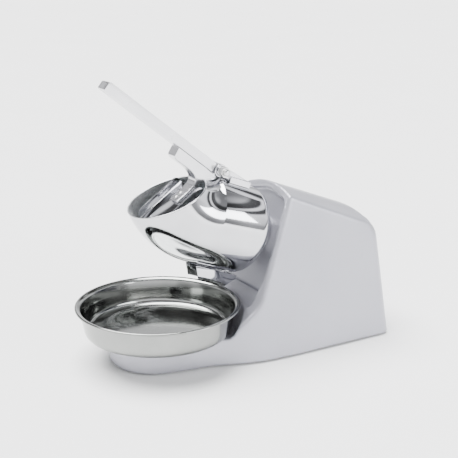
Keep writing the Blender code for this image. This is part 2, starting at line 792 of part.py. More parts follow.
HANDLE_SCREWS = [24 * MM, 58 * MM]
PUSHER_SCREWS = [54 * MM, 61.5 * MM]
ABOVE_HANDLE = HANDLE_LINE @ Matrix(((1, 0, 0, 0), (0, 0, 1, 0), (0, -1, 0, 0), (0, 0, 0, 1)))
ABOVE_PUSHER = PUSHER_LINE @ Matrix(((1, 0, 0, 0), (0, 0, 1, 0), (0, -1, 0, 0), (0, 0, 0, 1)))
HANDLE_SCREW_HOLES = rods(
    "handle_screw_holes",
    2.4 * MM,
    -14 * MM,
    10 * MM,
    [(a, 0) for a in HANDLE_SCREWS],
    parent=LEVER,
    view=ABOVE_HANDLE,
)
PUSHER_SCREW_HOLES = rods(
    "pusher_screw_holes",
    1.9 * MM,
    0,
    12 * MM,
    [(a, 0) for a in PUSHER_SCREWS],
    parent=LEVER,
    view=ABOVE_PUSHER,
)


def handle_bar():
    corners = [
        (HANDLE_START, HANDLE_UNDER, 1 * MM),
        (HANDLE_END, HANDLE_UNDER, 1.5 * MM),
        (HANDLE_END, HANDLE_OVER, 3 * MM),
        (HANDLE_START, HANDLE_OVER, 3 * MM),
    ]
    half = HANDLE_WIDTH / 2
    bar = plate("handle_bar", rounded(corners), -half, half, HANDLE_LINE, "polished_aluminium", LEVER)
    edges = bar.modifiers.new("round edges", "BEVEL")
    edges.width = 2.2 * MM
    edges.segments = 2
    edges.limit_method = "ANGLE"
    edges.angle_limit = math.radians(60)
    cut(bar, HANDLE_SCREW_HOLES)
    places = [ABOVE_HANDLE @ Matrix.Translation((a, 0, HANDLE_OVER + GAP)) for a in HANDLE_SCREWS]
    fasteners("handle_screw", places, 4 * MM, 1.2 * MM, 2 * MM, 16 * MM, parent=LEVER)


def pusher():
    corners = [
        (PUSHER_START, PUSHER_UNDER, 1 * MM),
        (PUSHER_END, PUSHER_UNDER, 1 * MM),
        (PUSHER_END, FLANGE_TOP, 8 * MM),
        (PUSHER_START, FLANGE_TOP, 5 * MM),
    ]
    half = PUSHER_HALF_WIDTH
    tray = plate("pusher_plate", rounded(corners), -half, half, PUSHER_LINE, "polished_steel", LEVER)
    inner = half - 1.8 * MM
    channel = box(
        "pusher_channel",
        (PUSHER_START - 5 * MM, PUSHER_OVER, -inner),
        (PUSHER_END + 5 * MM, FLANGE_TOP + 5 * MM, inner),
        parent=LEVER,
        view=PUSHER_LINE,
    )
    cut(tray, channel, PUSHER_SCREW_HOLES)
    places = [ABOVE_PUSHER @ Matrix.Translation((a, 0, 8.6 * MM + GAP)) for a in PUSHER_SCREWS]
    fasteners("pusher_screw", places, 3.2 * MM, 2 * MM, 1.6 * MM, 5.6 * MM, parent=LEVER)


# ---------------------------------------------------------------- blade disc and spindle

BLADE_INNER = 13 * MM
BLADE_OUTER = 47 * MM
BLADE_OFFSET = 5 * MM
BLADE_DEPTH = 14 * MM
BLADE_FRONT = DISC_FRONT - GAP - 2 * MM


def blade_turn(index):
    return Matrix.Rotation(math.pi * index, 4, "Z")


def blade_disc():
    profile = [
        (DISC_R, DISC_BACK),
        (DISC_R, DISC_FRONT),
        (5.3 * MM, DISC_FRONT),
        (5.3 * MM, DISC_BACK),
    ]
    disc = turned("blade_disc", profile, "machined_steel", SPINDLE, steps=STEPS_LARGE)
    screw_spots = []
    for index in range(2):
        low = (BLADE_INNER, -BLADE_OFFSET, 0.045)
        high = (BLADE_OUTER, BLADE_OFFSET * 0.2, 0.065)
        window = box(f"blade_window_{index + 1}", low, high, parent=SPINDLE, view=blade_turn(index))
        cut(disc, window)
        low = (BLADE_INNER, 0, BLADE_FRONT)
        high = (BLADE_OUTER, BLADE_DEPTH, DISC_FRONT - GAP)
        blade = box(f"blade_{index + 1}", low, high, "plated_steel", SPINDLE, view=blade_turn(index))
        cut(blade, BLADE_SCREW_HOLES)
        for radius in BLADE_SCREW_RADII:
            screw_spots.append(blade_turn(index) @ Vector((radius, BLADE_DEPTH * 0.65, BLADE_FRONT - GAP)))
    cut(disc, BLADE_SCREW_HOLES)
    places = [facing_front(*spot) for spot in screw_spots]
    fasteners("blade_screw", places, 2.8 * MM, 1.3 * MM, 1.4 * MM, 7 * MM, parent=SPINDLE)


BLADE_SCREW_RADII = (22 * MM, 38 * MM)
BLADE_SCREW_HOLES = rods(
    "blade_screw_holes",
    1.7 * MM,
    0.045,
    0.065,
    [(side * r, side * BLADE_DEPTH * 0.65) for side in (1, -1) for r in BLADE_SCREW_RADII],
    parent=SPINDLE,
)


def shaft():
    journal = mm([(0, 178), (5, 178), (6, 177), (6, 61)])
    nose = mm([(9, 61), (9, 58.3), (5, 58.3), (5, 45), (4, 44), (0, 44)])
    turned("motor_shaft", [*journal, *nose], "machined_steel", SPINDLE, closed=False)
    nut = rods("disc_nut", 9 * MM, 46.5 * MM, DISC_FRONT - GAP, [(0, 0)], "plated_steel", SPINDLE, sides=6)
    cut(nut, rods("disc_nut_bore", 5.3 * MM, 0.04, 0.06, [(0, 0)], parent=SPINDLE, sides=STEPS_SMALL))
    rotor = mm([(22.4, 148), (22.4, 106), (6.3, 106), (6.3, 148)])
    turned("rotor", rotor, "lamination_steel", SPINDLE, steps=24)


def cooling_fan():
    back_plate = mm([(33, 165), (33, 163.4), (6.3, 163.4), (6.3, 165)])
    fan = turned("cooling_fan", back_plate, "white_plastic", SPINDLE)
    bm = bmesh.new()
    for index in range(8):
        spoke = Matrix.Rotation(math.pi / 4 * index, 4, "Z") @ Matrix.Translation((21.5 * MM, 0, 168.5 * MM))
        pitch = Matrix.Rotation(math.radians(8), 4, "Z")
        size = Matrix.Diagonal((20 * MM, 1.6 * MM, 9 * MM, 1))
        bmesh.ops.create_cube(bm, size=1, matrix=spoke @ pitch @ size)
    vanes = add("fan_vanes", from_bmesh(bm, "fan_vanes"), None, SPINDLE)
    hub = turned("fan_hub", mm([(10, 173), (10, 164), (6.3, 164), (6.3, 173)]), parent=SPINDLE)
    join(fan, hub, vanes)


# ---------------------------------------------------------------- motor


def motor():
    front = mm([(40, 103.7), (40, 91.8), (8, 91.8), (8, 93.3), (13.3, 93.3), (13.3, 101.7)])
    front += mm([(17, 101.7), (17, 97.8), (32, 97.8), (32, 103.7)])
    cap = turned("motor_front_cap", front, "polished_aluminium", DRUM_AXIS, steps=28)
    cut(cap, HOPPER_SCREW_HOLES, TIE_SCREW_HOLES)
    stack = mm([(39, 150), (39, 104), (23, 104), (23, 150)])
    stator = turned("stator_stack", stack, "lamination_steel", DRUM_AXIS, steps=28)
    cut(stator, TIE_SCREW_HOLES)
    for name, low, high in (("winding_front", 98.2, 103.7), ("winding_rear", 150.3, 156.4)):
        coil = mm([(31.4, high), (31.4, low), (24, low), (24, high)])
        turned(name, coil, "copper", DRUM_AXIS, steps=24)
    rear = mm([(40, 161), (40, 150.3), (32, 150.3), (32, 157), (17, 157), (17, 151.5), (13.3, 151.5)])
    rear += mm([(13.3, 159.3), (8, 159.3), (8, 161)])
    back = turned("motor_rear_cap", rear, "polished_aluminium", DRUM_AXIS, steps=28)
    cut(back, TIE_SCREW_HOLES)
    for name, low in (("front_bearing", 93.6), ("rear_bearing", 151.8)):
        ring = mm([(13, low + 7), (13, low), (6.3, low), (6.3, low + 7)])
        turned(name, ring, "machined_steel", DRUM_AXIS)
    seal = mm([(11, 91.2), (11, 87.2), (6.3, 87.2), (6.3, 91.2)])
    turned("shaft_seal", seal, "black_rubber", DRUM_AXIS)
    places = [Matrix.Translation((x, y, MOTOR_BACK + GAP)) for x, y in TIE_SCREWS]
    fasteners("motor_tie_screw", places, 3.4 * MM, 1.8 * MM, 1.8 * MM, 60 * MM, parent=DRUM_AXIS)


# ---------------------------------------------------------------- electrics

CAPACITOR = Vector((-52, 100, 5.3)) * MM
CAPACITOR_R = 17 * MM
ACROSS_Y = basis((1, 0, 0), (0, 0, 1))


def capacitor():
    centre = (CAPACITOR.x, CAPACITOR.z + 1.5 * MM + CAPACITOR_R)
    can = rods("capacitor", CAPACITOR_R, -0.125, -0.070, [centre], "white_plastic", view=ACROSS_Y, sides=24)
    edge = can.modifiers.new("round edges", "BEVEL")
    edge.width = 1.5 * MM
    edge.segments = 2
    edge.angle_limit = math.radians(60)
    edge.limit_method = "ANGLE"
    inner = CAPACITOR_R + GAP
    outer = inner + 1.2 * MM
    clip = rods("capacitor_clip", outer, -0.104, -0.092, [centre], "plated_steel", view=ACROSS_Y, sides=24)
    bore = rods("clip_bore", inner, -0.12, -0.08, [centre], view=ACROSS_Y, sides=24)
    tab_low = (CAPACITOR.x + inner - 4 * MM, 0.092, PLATE_HIGH + GAP)
    tab_high = (CAPACITOR.x + inner + 10 * MM, 0.104, PLATE_HIGH + 1.5 * MM)
    tab = box("clip_tab", tab_low, tab_high)
    base = box(
        "clip_base",
        (CAPACITOR.x - 5 * MM, 0.092, PLATE_HIGH + GAP),
        (CAPACITOR.x + inner + 5 * MM, 0.104, PLATE_HIGH + 1.5 * MM),
    )
    join(clip, tab, base)
    cut(clip, bore)


def terminal_block():
    low = (20 * MM, 60 * MM, PLATE_HIGH + GAP)
    high = (56 * MM, 76 * MM, 20 * MM)
    block = box("terminal_block", low, high, "white_plastic")
    wells = rods("terminal_wells", 2.4 * MM, 10 * MM, 25 * MM, mm([(26, 68), (34, 68), (42, 68), (50, 68)]))
    cut(block, wells)


def rear_fitting(name, centre, half, flange, depth, look):
    """A snap-in body behind a flange on the housing's rear face."""
    bezel_low = (centre[0] - half[0] - flange, centre[1] - half[1] - flange, GAP + 0.1 * MM)
    bezel_high = (centre[0] + half[0] + flange, centre[1] + half[1] + flange, 2.2 * MM)
    fitting = box(name, bezel_low, bezel_high, look, view=REAR_FACE)
    body_low = (centre[0] - half[0] + GAP, centre[1] - half[1] + GAP, -depth)
    body_high = (centre[0] + half[0] - GAP, centre[1] + half[1] - GAP, 1 * MM)
    join(fitting, box(f"{name}_body", body_low, body_high, view=REAR_FACE))
    return fitting


def power_switch():
    frame = rear_fitting("switch_frame", SWITCH_CENTRE, SWITCH_HALF, 1.8 * MM, 20 * MM, "black_plastic")
    half_x = SWITCH_HALF[0] - 2 * MM
    half_y = SWITCH_HALF[1] - 2 * MM
    well_low = (SWITCH_CENTRE[0] - half_x, SWITCH_CENTRE[1] - half_y, -9 * MM)
    well_high = (SWITCH_CENTRE[0] + half_x, SWITCH_CENTRE[1] + half_y, 5 * MM)
    cut(frame, box("switch_well", well_low, well_high, view=REAR_FACE))
    pivot = REAR_FACE @ Vector((*SWITCH_CENTRE, -3.5 * MM))
    axis = empty("rocker_axis", pivot, (math.atan(REAR_LEAN), 0, 0))
    # Side view of the rocker, in (rearward, up) from its axis: two faces that meet in a shallow V.
    outline = mm([(4, 10.6), (3.9, 0), (5.3, -10.6), (1.6, -9.6), (-3.2, -3.2), (-3.2, 3.2), (0.2, 9.8)])
    width = half_x - 0.4 * MM
    plate("power_rocker", outline, -width, width, SIDE_VIEW, "red_plastic", axis)


def power_inlet():
    body = rear_fitting("power_inlet", INLET_CENTRE, INLET_HALF, 2.5 * MM, 22 * MM, "black_plastic")
    well_low = (INLET_CENTRE[0] - 12 * MM, INLET_CENTRE[1] - 8 * MM, -17 * MM)
    well_high = (INLET_CENTRE[0] + 12 * MM, INLET_CENTRE[1] + 8 * MM, 5 * MM)
    cut(body, box("inlet_well", well_low, well_high, view=REAR_FACE))
    for index, (x, y) in enumerate(mm([(-7, -2), (0, 2.5), (7, -2)]), 1):
        pin_low = (INLET_CENTRE[0] + x - 1 * MM, INLET_CENTRE[1] + y - 2 * MM, -18 * MM)
        pin_high = (INLET_CENTRE[0] + x + 1 * MM, INLET_CENTRE[1] + y + 2 * MM, -6 * MM)
        join(body, box(f"inlet_pin_{index}", pin_low, pin_high, view=REAR_FACE))


def lead(name, route, radius, look):
    """An insulated internal lead along a smooth route."""
    points = smooth_line(mm(route), 5)
    curve = bpy.data.curves.new(name, "CURVE")
    curve.dimensions = "3D"
    curve.bevel_depth = radius
    curve.bevel_resolution = 1
    curve.use_fill_caps = True
    spline = curve.splines.new("POLY")
    spline.points.add(len(points) - 1)
    for point, place in zip(spline.points, points):
        point.co = (*place, 1)
    obj = bpy.data.objects.new(name, curve)
    bpy.context.scene.collection.objects.link(obj)
    add(name, mesh_of(obj), look)


def leads():
    route = [(42, 68, 20.8), (42, 69, 32), (43, 75, 48), (46, 86, 62), (47, 98, 74)]
    lead("motor_lead", route, 1.6 * MM, "blue_lead")


body_casting()
base_plate()
ice_bowl()
hopper()
hopper_collar()
outlet_chute()
hinge_bracket()
pivot_pin()
lever_arm()
handle_bar()
pusher()
blade_disc()
shaft()
cooling_fan()
motor()
capacitor()
terminal_block()
power_switch()
power_inlet()
leads()

for part in PARTS.objects:
    if part.type == "MESH":
        part.data.shade_smooth()
        part.data.set_sharp_from_angle(angle=math.radians(35))
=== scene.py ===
import json
import math

import bmesh
import bpy
from mathutils import Matrix, Vector


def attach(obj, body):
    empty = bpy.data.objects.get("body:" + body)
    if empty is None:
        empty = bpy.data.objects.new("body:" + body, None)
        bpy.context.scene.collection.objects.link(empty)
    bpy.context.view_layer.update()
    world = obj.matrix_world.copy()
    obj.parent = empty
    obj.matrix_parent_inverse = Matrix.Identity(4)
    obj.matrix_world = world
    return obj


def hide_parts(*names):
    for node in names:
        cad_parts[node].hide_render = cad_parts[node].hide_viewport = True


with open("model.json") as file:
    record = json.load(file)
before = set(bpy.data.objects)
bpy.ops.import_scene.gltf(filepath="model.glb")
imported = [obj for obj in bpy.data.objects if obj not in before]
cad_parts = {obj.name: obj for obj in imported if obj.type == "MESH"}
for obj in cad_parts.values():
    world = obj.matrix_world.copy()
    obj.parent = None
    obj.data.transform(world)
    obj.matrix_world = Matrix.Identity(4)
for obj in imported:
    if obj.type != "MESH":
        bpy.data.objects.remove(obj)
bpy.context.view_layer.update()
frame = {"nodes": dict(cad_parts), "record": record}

MM = 0.001
TILT = math.radians(21)
AXIS_ORIGIN = Vector((0, -36.9, 167.7)) * MM
ALONG = Vector((0, math.cos(TILT), -math.sin(TILT)))
UP = Vector((0, math.sin(TILT), math.cos(TILT)))
PIVOT = Vector((0, -14.5, 226)) * MM
HANDLE_RISE = math.radians(38.5)
PUSHER_FALL = math.radians(35)
BOWL_Y = -96.5 * MM
REAR_Y = 196.5 * MM
REAR_LEAN = 0.0442
GROUND_CLEARANCE = 2.5 * MM

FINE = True

# ---------------------------------------------------------------- node materials


class Nodes:
    """Builds one node material."""

    def __init__(self, name):
        self.material = bpy.data.materials.new(name)
        self.material.use_nodes = True
        self.tree = self.material.node_tree
        self.shader = self.tree.nodes["Principled BSDF"]
        self.place = self.tree.nodes.new("ShaderNodeTexCoord")

    def link(self, source, target):
        self.tree.links.new(source, target)

    def coords(self, scale=(1, 1, 1), turn=(0, 0, 0), origin=(0, 0, 0)):
        mapping = self.tree.nodes.new("ShaderNodeMapping")
        mapping.vector_type = "TEXTURE"
        mapping.inputs["Location"].default_value = origin
        mapping.inputs["Rotation"].default_value = turn
        mapping.inputs["Scale"].default_value = [1 / value for value in scale]
        self.link(self.place.outputs["Object"], mapping.inputs["Vector"])
        return mapping.outputs["Vector"]

    def noise(self, scale, detail=3, vector=None, roughness=0.5):
        node = self.tree.nodes.new("ShaderNodeTexNoise")
        node.inputs["Scale"].default_value = scale
        node.inputs["Detail"].default_value = detail
        node.inputs["Roughness"].default_value = roughness
        self.link(vector or self.place.outputs["Object"], node.inputs["Vector"])
        return node.outputs["Fac"]

    def wave(self, scale, vector=None, rings=False, direction="Z", distortion=0.0):
        node = self.tree.nodes.new("ShaderNodeTexWave")
        node.wave_type = "RINGS" if rings else "BANDS"
        if rings:
            node.rings_direction = direction
        else:
            node.bands_direction = direction
        node.inputs["Scale"].default_value = scale
        node.inputs["Distortion"].default_value = distortion
        node.inputs["Detail"].default_value = 2
        self.link(vector or self.place.outputs["Object"], node.inputs["Vector"])
        return node.outputs["Fac"]

    def span(self, value, low, high, start=0.3, end=0.7):
        node = self.tree.nodes.new("ShaderNodeMapRange")
        node.inputs["From Min"].default_value = start
        node.inputs["From Max"].default_value = end
        node.inputs["To Min"].default_value = low
        node.inputs["To Max"].default_value = high
        self.link(value, node.inputs["Value"])
        return node.outputs["Result"]

    def mix(self, share, one, two):
        node = self.tree.nodes.new("ShaderNodeMix")
        node.data_type = "RGBA"
        self.link(share, node.inputs["Factor"])
        for socket, value in zip([s for s in node.inputs if s.type == "RGBA"], (one, two)):
            if isinstance(value, tuple):
                socket.default_value = (*value, 1)
            else:
                self.link(value, socket)
        return [s for s in node.outputs if s.type == "RGBA"][0]

    def add(self, one, two, operation="ADD"):
        node = self.tree.nodes.new("ShaderNodeMath")
        node.operation = operation
        for socket, value in zip(node.inputs, (one, two)):
            if isinstance(value, (int, float)):
                socket.default_value = value
            else:
                self.link(value, socket)
        return node.outputs["Value"]

    def bump(self, height, strength, distance=0.0002, under=None):
        node = self.tree.nodes.new("ShaderNodeBump")
        node.inputs["Strength"].default_value = strength
        node.inputs["Distance"].default_value = distance
        self.link(height, node.inputs["Height"])
        if under:
            self.link(under, node.inputs["Normal"])
        return node.outputs["Normal"]

    def finish(self, colour, roughness, metallic, normal=None, **others):
        inputs = self.shader.inputs
        self.link(colour, inputs["Base Color"])
        if isinstance(roughness, float):
            inputs["Roughness"].default_value = roughness
        else:
            self.link(roughness, inputs["Roughness"])
        inputs["Metallic"].default_value = metallic
        if normal:
            self.link(normal, inputs["Normal"])
        for key, value in others.items():
            inputs[key.replace("_", " ")].default_value = value
        return self.material


def paint_material():
    n = Nodes("silver_paint_look")
    flake = n.span(n.noise(2600, 1), 0, 1, 0.35, 0.65)
    cloud = n.span(n.noise(9, 3), 0, 1)
    tone = n.mix(cloud, (0.36, 0.36, 0.405), (0.41, 0.41, 0.455))
    colour = n.mix(n.add(flake, 0.16, "MULTIPLY"), tone, (0.60, 0.61, 0.66))
    rough = n.add(n.span(n.noise(40, 3), 0.36, 0.42), n.add(flake, 0.03, "MULTIPLY"))
    normal = n.bump(n.noise(420, 2), 0.10, 0.0002)
    return n.finish(colour, rough, 0.55, normal, Coat_Weight=0.25, Coat_Roughness=0.16)


def polished_material():
    n = Nodes("polished_steel_look")
    smudge = n.noise(22, 4, roughness=0.6)
    hair = n.noise(60, 2, n.coords((6, 40, 40)))
    tone = n.mix(n.span(smudge, 0, 1), (0.52, 0.525, 0.55), (0.58, 0.585, 0.605))
    rough = n.add(n.span(smudge, 0.045, 0.075), n.span(hair, 0, 0.02))
    normal = n.bump(hair, 0.02, 0.00005)
    return n.finish(tone, rough, 1.0, normal)


def satin_inside_material():
    n = Nodes("satin_inside_look")
    brushing = n.noise(90, 3, n.coords((60, 6, 6)))
    smudge = n.noise(26, 4, roughness=0.6)
    tone = n.mix(n.span(smudge, 0, 1), (0.60, 0.625, 0.64), (0.72, 0.735, 0.745))
    rough = n.add(n.span(brushing, 0.22, 0.34), n.span(smudge, 0, 0.05))
    return n.finish(tone, rough, 0.85, n.bump(brushing, 0.08, 0.0001))


def bowl_material():
    n = Nodes("spun_steel_look")
    vector = n.coords(origin=(0, BOWL_Y, 0))
    rings = n.wave(900, vector, rings=True, direction="Z", distortion=0.6)
    smudge = n.noise(18, 4, roughness=0.6)
    tone = n.mix(n.span(smudge, 0, 1), (0.25, 0.26, 0.25), (0.31, 0.315, 0.305))
    rough = n.add(n.span(smudge, 0.08, 0.13), n.add(rings, 0.03, "MULTIPLY"))
    normal = n.bump(rings, 0.03, 0.00004)
    return n.finish(tone, rough, 1.0, normal)


def aluminium_material():
    n = Nodes("polished_aluminium_look")
    cast = n.noise(300, 3)
    wear = n.noise(35, 4, roughness=0.6)
    tone = n.mix(n.span(wear, 0, 1), (0.62, 0.62, 0.645), (0.70, 0.70, 0.72))
    rough = n.add(n.span(wear, 0.17, 0.26), n.span(cast, 0, 0.04))
    normal = n.bump(cast, 0.06, 0.00015)
    return n.finish(tone, rough, 1.0, normal)


def plated_material():
    n = Nodes("plated_steel_look")
    stain = n.noise(90, 4, roughness=0.6)
    tone = n.mix(n.span(stain, 0, 1), (0.58, 0.585, 0.60), (0.70, 0.70, 0.68))
    normal = n.bump(n.noise(900, 2), 0.05, 0.0001)
    return n.finish(tone, n.span(stain, 0.24, 0.38), 1.0, normal)


def machined_material():
    n = Nodes("machined_steel_look")
    vector = n.coords(turn=(-(math.pi / 2 + TILT), 0, 0), origin=tuple(AXIS_ORIGIN))
    turning = n.wave(700, vector, rings=True, direction="Z", distortion=0.4)
    stain = n.noise(60, 4)
    tone = n.mix(n.span(stain, 0, 1), (0.47, 0.47, 0.48), (0.58, 0.58, 0.59))
    rough = n.add(n.span(stain, 0.26, 0.34), n.add(turning, 0.08, "MULTIPLY"))
    return n.finish(tone, rough, 1.0, n.bump(turning, 0.12, 0.0001))


def lamination_material():
    n = Nodes("lamination_look")
    vector = n.coords(turn=(-(math.pi / 2 + TILT), 0, 0), origin=tuple(AXIS_ORIGIN))
    layers = n.wave(320, vector, direction="Z")
    tone = n.mix(layers, (0.17, 0.175, 0.19), (0.36, 0.37, 0.39))
    return n.finish(tone, n.span(n.noise(200, 2), 0.42, 0.58), 0.9, n.bump(layers, 0.5, 0.0003))


def copper_material():
    n = Nodes("winding_look")
    vector = n.coords(turn=(-(math.pi / 2 + TILT), 0, 0), origin=tuple(AXIS_ORIGIN))
    strands = n.wave(260, vector, rings=True, direction="Z", distortion=2.5)
    tone = n.mix(strands, (0.42, 0.17, 0.07), (0.78, 0.40, 0.19))
    return n.finish(tone, n.span(n.noise(300, 2), 0.28, 0.42), 0.9, n.bump(strands, 0.6, 0.0004))


def brass_material():
    n = Nodes("brass_look")
    stain = n.noise(150, 3)
    tone = n.mix(n.span(stain, 0, 1), (0.66, 0.50, 0.22), (0.82, 0.66, 0.33))
    return n.finish(tone, n.span(stain, 0.24, 0.36), 1.0, n.bump(stain, 0.05, 0.0001))


def rubber_material():
    n = Nodes("rubber_look")
    grain = n.noise(700, 3)
    dust = n.noise(40, 3)
    tone = n.mix(n.span(dust, 0, 1), (0.022, 0.022, 0.023), (0.055, 0.054, 0.052))
    return n.finish(tone, n.span(grain, 0.72, 0.9), 0.0, n.bump(grain, 0.3, 0.0002))


def plastic_material(name, dark, light, rough, strength=0.12):
    n = Nodes(name)
    grain = n.noise(1400, 2)
    cloud = n.noise(30, 3)
    tone = n.mix(n.span(cloud, 0, 1), dark, light)
    return n.finish(tone, n.span(grain, rough * 0.85, rough * 1.15), 0.0, n.bump(grain, strength, 0.00015))


LOOKS = {
    "silver_paint": paint_material(),
    "polished_steel": polished_material(),
    "polished_aluminium": aluminium_material(),
    "plated_steel": plated_material(),
    "machined_steel": machined_material(),
    "lamination_steel": lamination_material(),
    "copper": copper_material(),
    "brass": brass_material(),
    "black_rubber": rubber_material(),
    "black_plastic": plastic_material("black_plastic_look", (0.020, 0.020, 0.022), (0.036, 0.036, 0.040), 0.42),
    "white_plastic": plastic_material("white_plastic_look", (0.74, 0.74, 0.71), (0.83, 0.83, 0.81), 0.45, 0.06),
    "red_plastic": plastic_material("red_plastic_look", (0.50, 0.018, 0.015), (0.64, 0.035, 0.028), 0.24, 0.03),
    "blue_lead": plastic_material("blue_lead_look", (0.03, 0.08, 0.38), (0.06, 0.14, 0.50), 0.48, 0.06),
    "spun_steel": bowl_material(),
    "satin_inside": satin_inside_material(),
}

for entry in frame["record"]["subparts"]:
    node = frame["nodes"][entry["node"]]
    node.data.materials.clear()
    node.data.materials.append(LOOKS[entry["material_slot"]])

# ---------------------------------------------------------------- shapes

SIDE_VIEW = Matrix(((0, 0, 1, 0), (1, 0, 0, 0), (0, 1, 0, 0), (0, 0, 0, 1)))
PLAN_VIEW = Matrix.Identity(4)


def basis(x_axis, y_axis, origin=(0, 0, 0)):
    z_axis = Vector(x_axis).cross(Vector(y_axis))
    turn = Matrix((x_axis, y_axis, z_axis)).transposed().to_4x4()
    return Matrix.Translation(origin) @ turn


DRUM = Matrix.Translation(AXIS_ORIGIN) @ Matrix.Rotation(-(math.pi / 2 + TILT), 4, "X")
ACROSS_AXIS = basis((1, 0, 0), UP, AXIS_ORIGIN)
BESIDE_AXIS = basis(ALONG, UP, AXIS_ORIGIN)
AT_PIVOT = Matrix.Translation(PIVOT)
LOCAL_PUSHER = basis(
    (0, -math.cos(PUSHER_FALL), -math.sin(PUSHER_FALL)), (0, -math.sin(PUSHER_FALL), math.cos(PUSHER_FALL))
)
LOCAL_HANDLE = basis(
    (0, -math.cos(HANDLE_RISE), math.sin(HANDLE_RISE)), (0, math.sin(HANDLE_RISE), math.cos(HANDLE_RISE))
)
PUSHER_LINE = AT_PIVOT @ LOCAL_PUSHER
HANDLE_LINE = AT_PIVOT @ LOCAL_HANDLE
LIE_DOWN = Matrix(((1, 0, 0, 0), (0, 0, 1, 0), (0, -1, 0, 0), (0, 0, 0, 1)))
ACROSS_PIVOT = AT_PIVOT @ Matrix.Rotation(math.pi / 2, 4, "Y")
REAR_TURN = Matrix.Rotation(math.atan(REAR_LEAN), 4, "X")
REAR_FACE = Matrix.Translation((0, REAR_Y, GROUND_CLEARANCE)) @ REAR_TURN @ basis((-1, 0, 0), (0, 0, 1))


def mm(points):
    return [tuple(value * MM for value in point) for point in points]


def rounded(corners, steps=10):
    """Outline from corners (x, y, radius), in millimetres, with an arc in each corner."""
    corners = [tuple(value * MM for value in corner) for corner in corners]
    outline = []
    count = len(corners)
    for index, (x, y, radius) in enumerate(corners):
        corner = Vector((x, y))
        before = Vector(corners[index - 1][:2]) - corner
        after = Vector(corners[(index + 1) % count][:2]) - corner
        if radius == 0:
            outline.append((x, y))
            continue
        half = before.angle(after) / 2
        centre = corner + (before.normalized() + after.normalized()).normalized() * radius / math.sin(half)
        first = corner + before.normalized() * radius / math.tan(half) - centre
        last = corner + after.normalized() * radius / math.tan(half) - centre
        for step in range(steps + 1):
            outline.append(tuple(centre + first.lerp(last, step / steps).normalized() * radius))
    return outline


def smooth_line(points, steps):
    """A Catmull-Rom curve through the points."""
    ends = [points[0], *points, points[-1]]
    line = []
    for a, b, c, d in zip(ends, ends[1:], ends[2:], ends[3:]):
        for step in range(steps):
            t = step / steps
            line.append(
                tuple(
                    (2 * q + (r - p) * t + (2 * p - 5 * q + 4 * r - s) * t**2 + (3 * q - p - 3 * r + s) * t**3) / 2
                    for p, q, r, s in zip(a, b, c, d)
                )
            )
    return [*line, points[-1]]


def made(bm, name):
    bmesh.ops.recalc_face_normals(bm, faces=bm.faces)
    mesh = bpy.data.meshes.new(name)
    bm.to_mesh(mesh)
    bm.free()
    obj = bpy.data.objects.new(name, mesh)
    bpy.context.scene.collection.objects.link(obj)
    return obj


def plate(name, outline, low, high, view):
    """A flat outline of the view's XY plane, thick from low to high along its Z."""
    bm = bmesh.new()
    bottom = [bm.verts.new(view @ Vector((x, y, low))) for x, y in outline]
    face = bm.faces.new(bottom)
    extruded = bmesh.ops.extrude_face_region(bm, geom=[face])
    shift = (view.to_3x3() @ Vector((0, 0, high - low)))
    bmesh.ops.translate(bm, vec=shift, verts=[v for v in extruded["geom"] if isinstance(v, bmesh.types.BMVert)])
    bmesh.ops.triangulate(bm, faces=[f for f in bm.faces if len(f.verts) > 4])
    return made(bm, name)


def box(name, low, high, view=PLAN_VIEW):
    """A box between two corners of the view's frame, in millimetres."""
    low = Vector(low) * MM
    high = Vector(high) * MM
    bm = bmesh.new()
    place = Matrix.Translation((low + high) / 2) @ Matrix.Diagonal((*(high - low), 1))
    bmesh.ops.create_cube(bm, size=1, matrix=view @ place)
    return made(bm, name)


def rods(name, radius, low, high, places, view=PLAN_VIEW, sides=48):
    bm = bmesh.new()
    for x, y in places:
        bmesh.ops.create_cone(
            bm,
            cap_ends=True,
            segments=sides,
            radius1=radius * MM,
            radius2=radius * MM,
            depth=(high - low) * MM,
            matrix=view @ Matrix.Translation((x * MM, y * MM, (low + high) / 2 * MM)) @ Matrix.Rotation(0.07, 4, "Z"),
        )
    return made(bm, name)


def turned(name, profile, view=PLAN_VIEW, steps=64, closed=True, phase=0.0):
    """A profile of (radius, z) points, in millimetres, turned about the view's Z."""
    bm = bmesh.new()
    rows = []
    for radius, z in profile:
        if radius < 0.001:
            rows.append([bm.verts.new(view @ Vector((0, 0, z * MM)))] * steps)
            continue
        row = []
        for step in range(steps):
            angle = 2 * math.pi * step / steps + phase
            row.append(bm.verts.new(view @ Vector((radius * MM * math.cos(angle), radius * MM * math.sin(angle), z * MM))))
        rows.append(row)
    pairs = list(zip(rows, rows[1:]))
    if closed:
        pairs.append((rows[-1], rows[0]))
    for near, far in pairs:
        for i in range(steps):
            j = (i + 1) % steps
            corners = []
            for vertex in (near[i], near[j], far[j], far[i]):
                if vertex not in corners:
                    corners.append(vertex)
            if len(corners) > 2:
                bm.faces.new(corners)
    return made(bm, name)


def loft(name, rings, fill=True):
    bm = bmesh.new()
    rows = [[bm.verts.new(point) for point in ring] for ring in rings]
    count = len(rows[0])
    for near, far in zip(rows, rows[1:]):
        for i in range(count):
            j = (i + 1) % count
            bm.faces.new((near[i], near[j], far[j], far[i]))
    if fill:
        for row in (rows[0], rows[-1]):
            bm.faces.new(row)
        bmesh.ops.triangulate(bm, faces=[f for f in bm.faces if len(f.verts) > 4])
    return made(bm, name)


def apply(obj):
    """Freezes an object's modifiers into its mesh."""
    bpy.context.view_layer.update()
    graph = bpy.context.evaluated_depsgraph_get()
    mesh = bpy.data.meshes.new_from_object(obj.evaluated_get(graph))
    mesh.name = obj.name
    obj.modifiers.clear()
    obj.data = mesh
    return obj


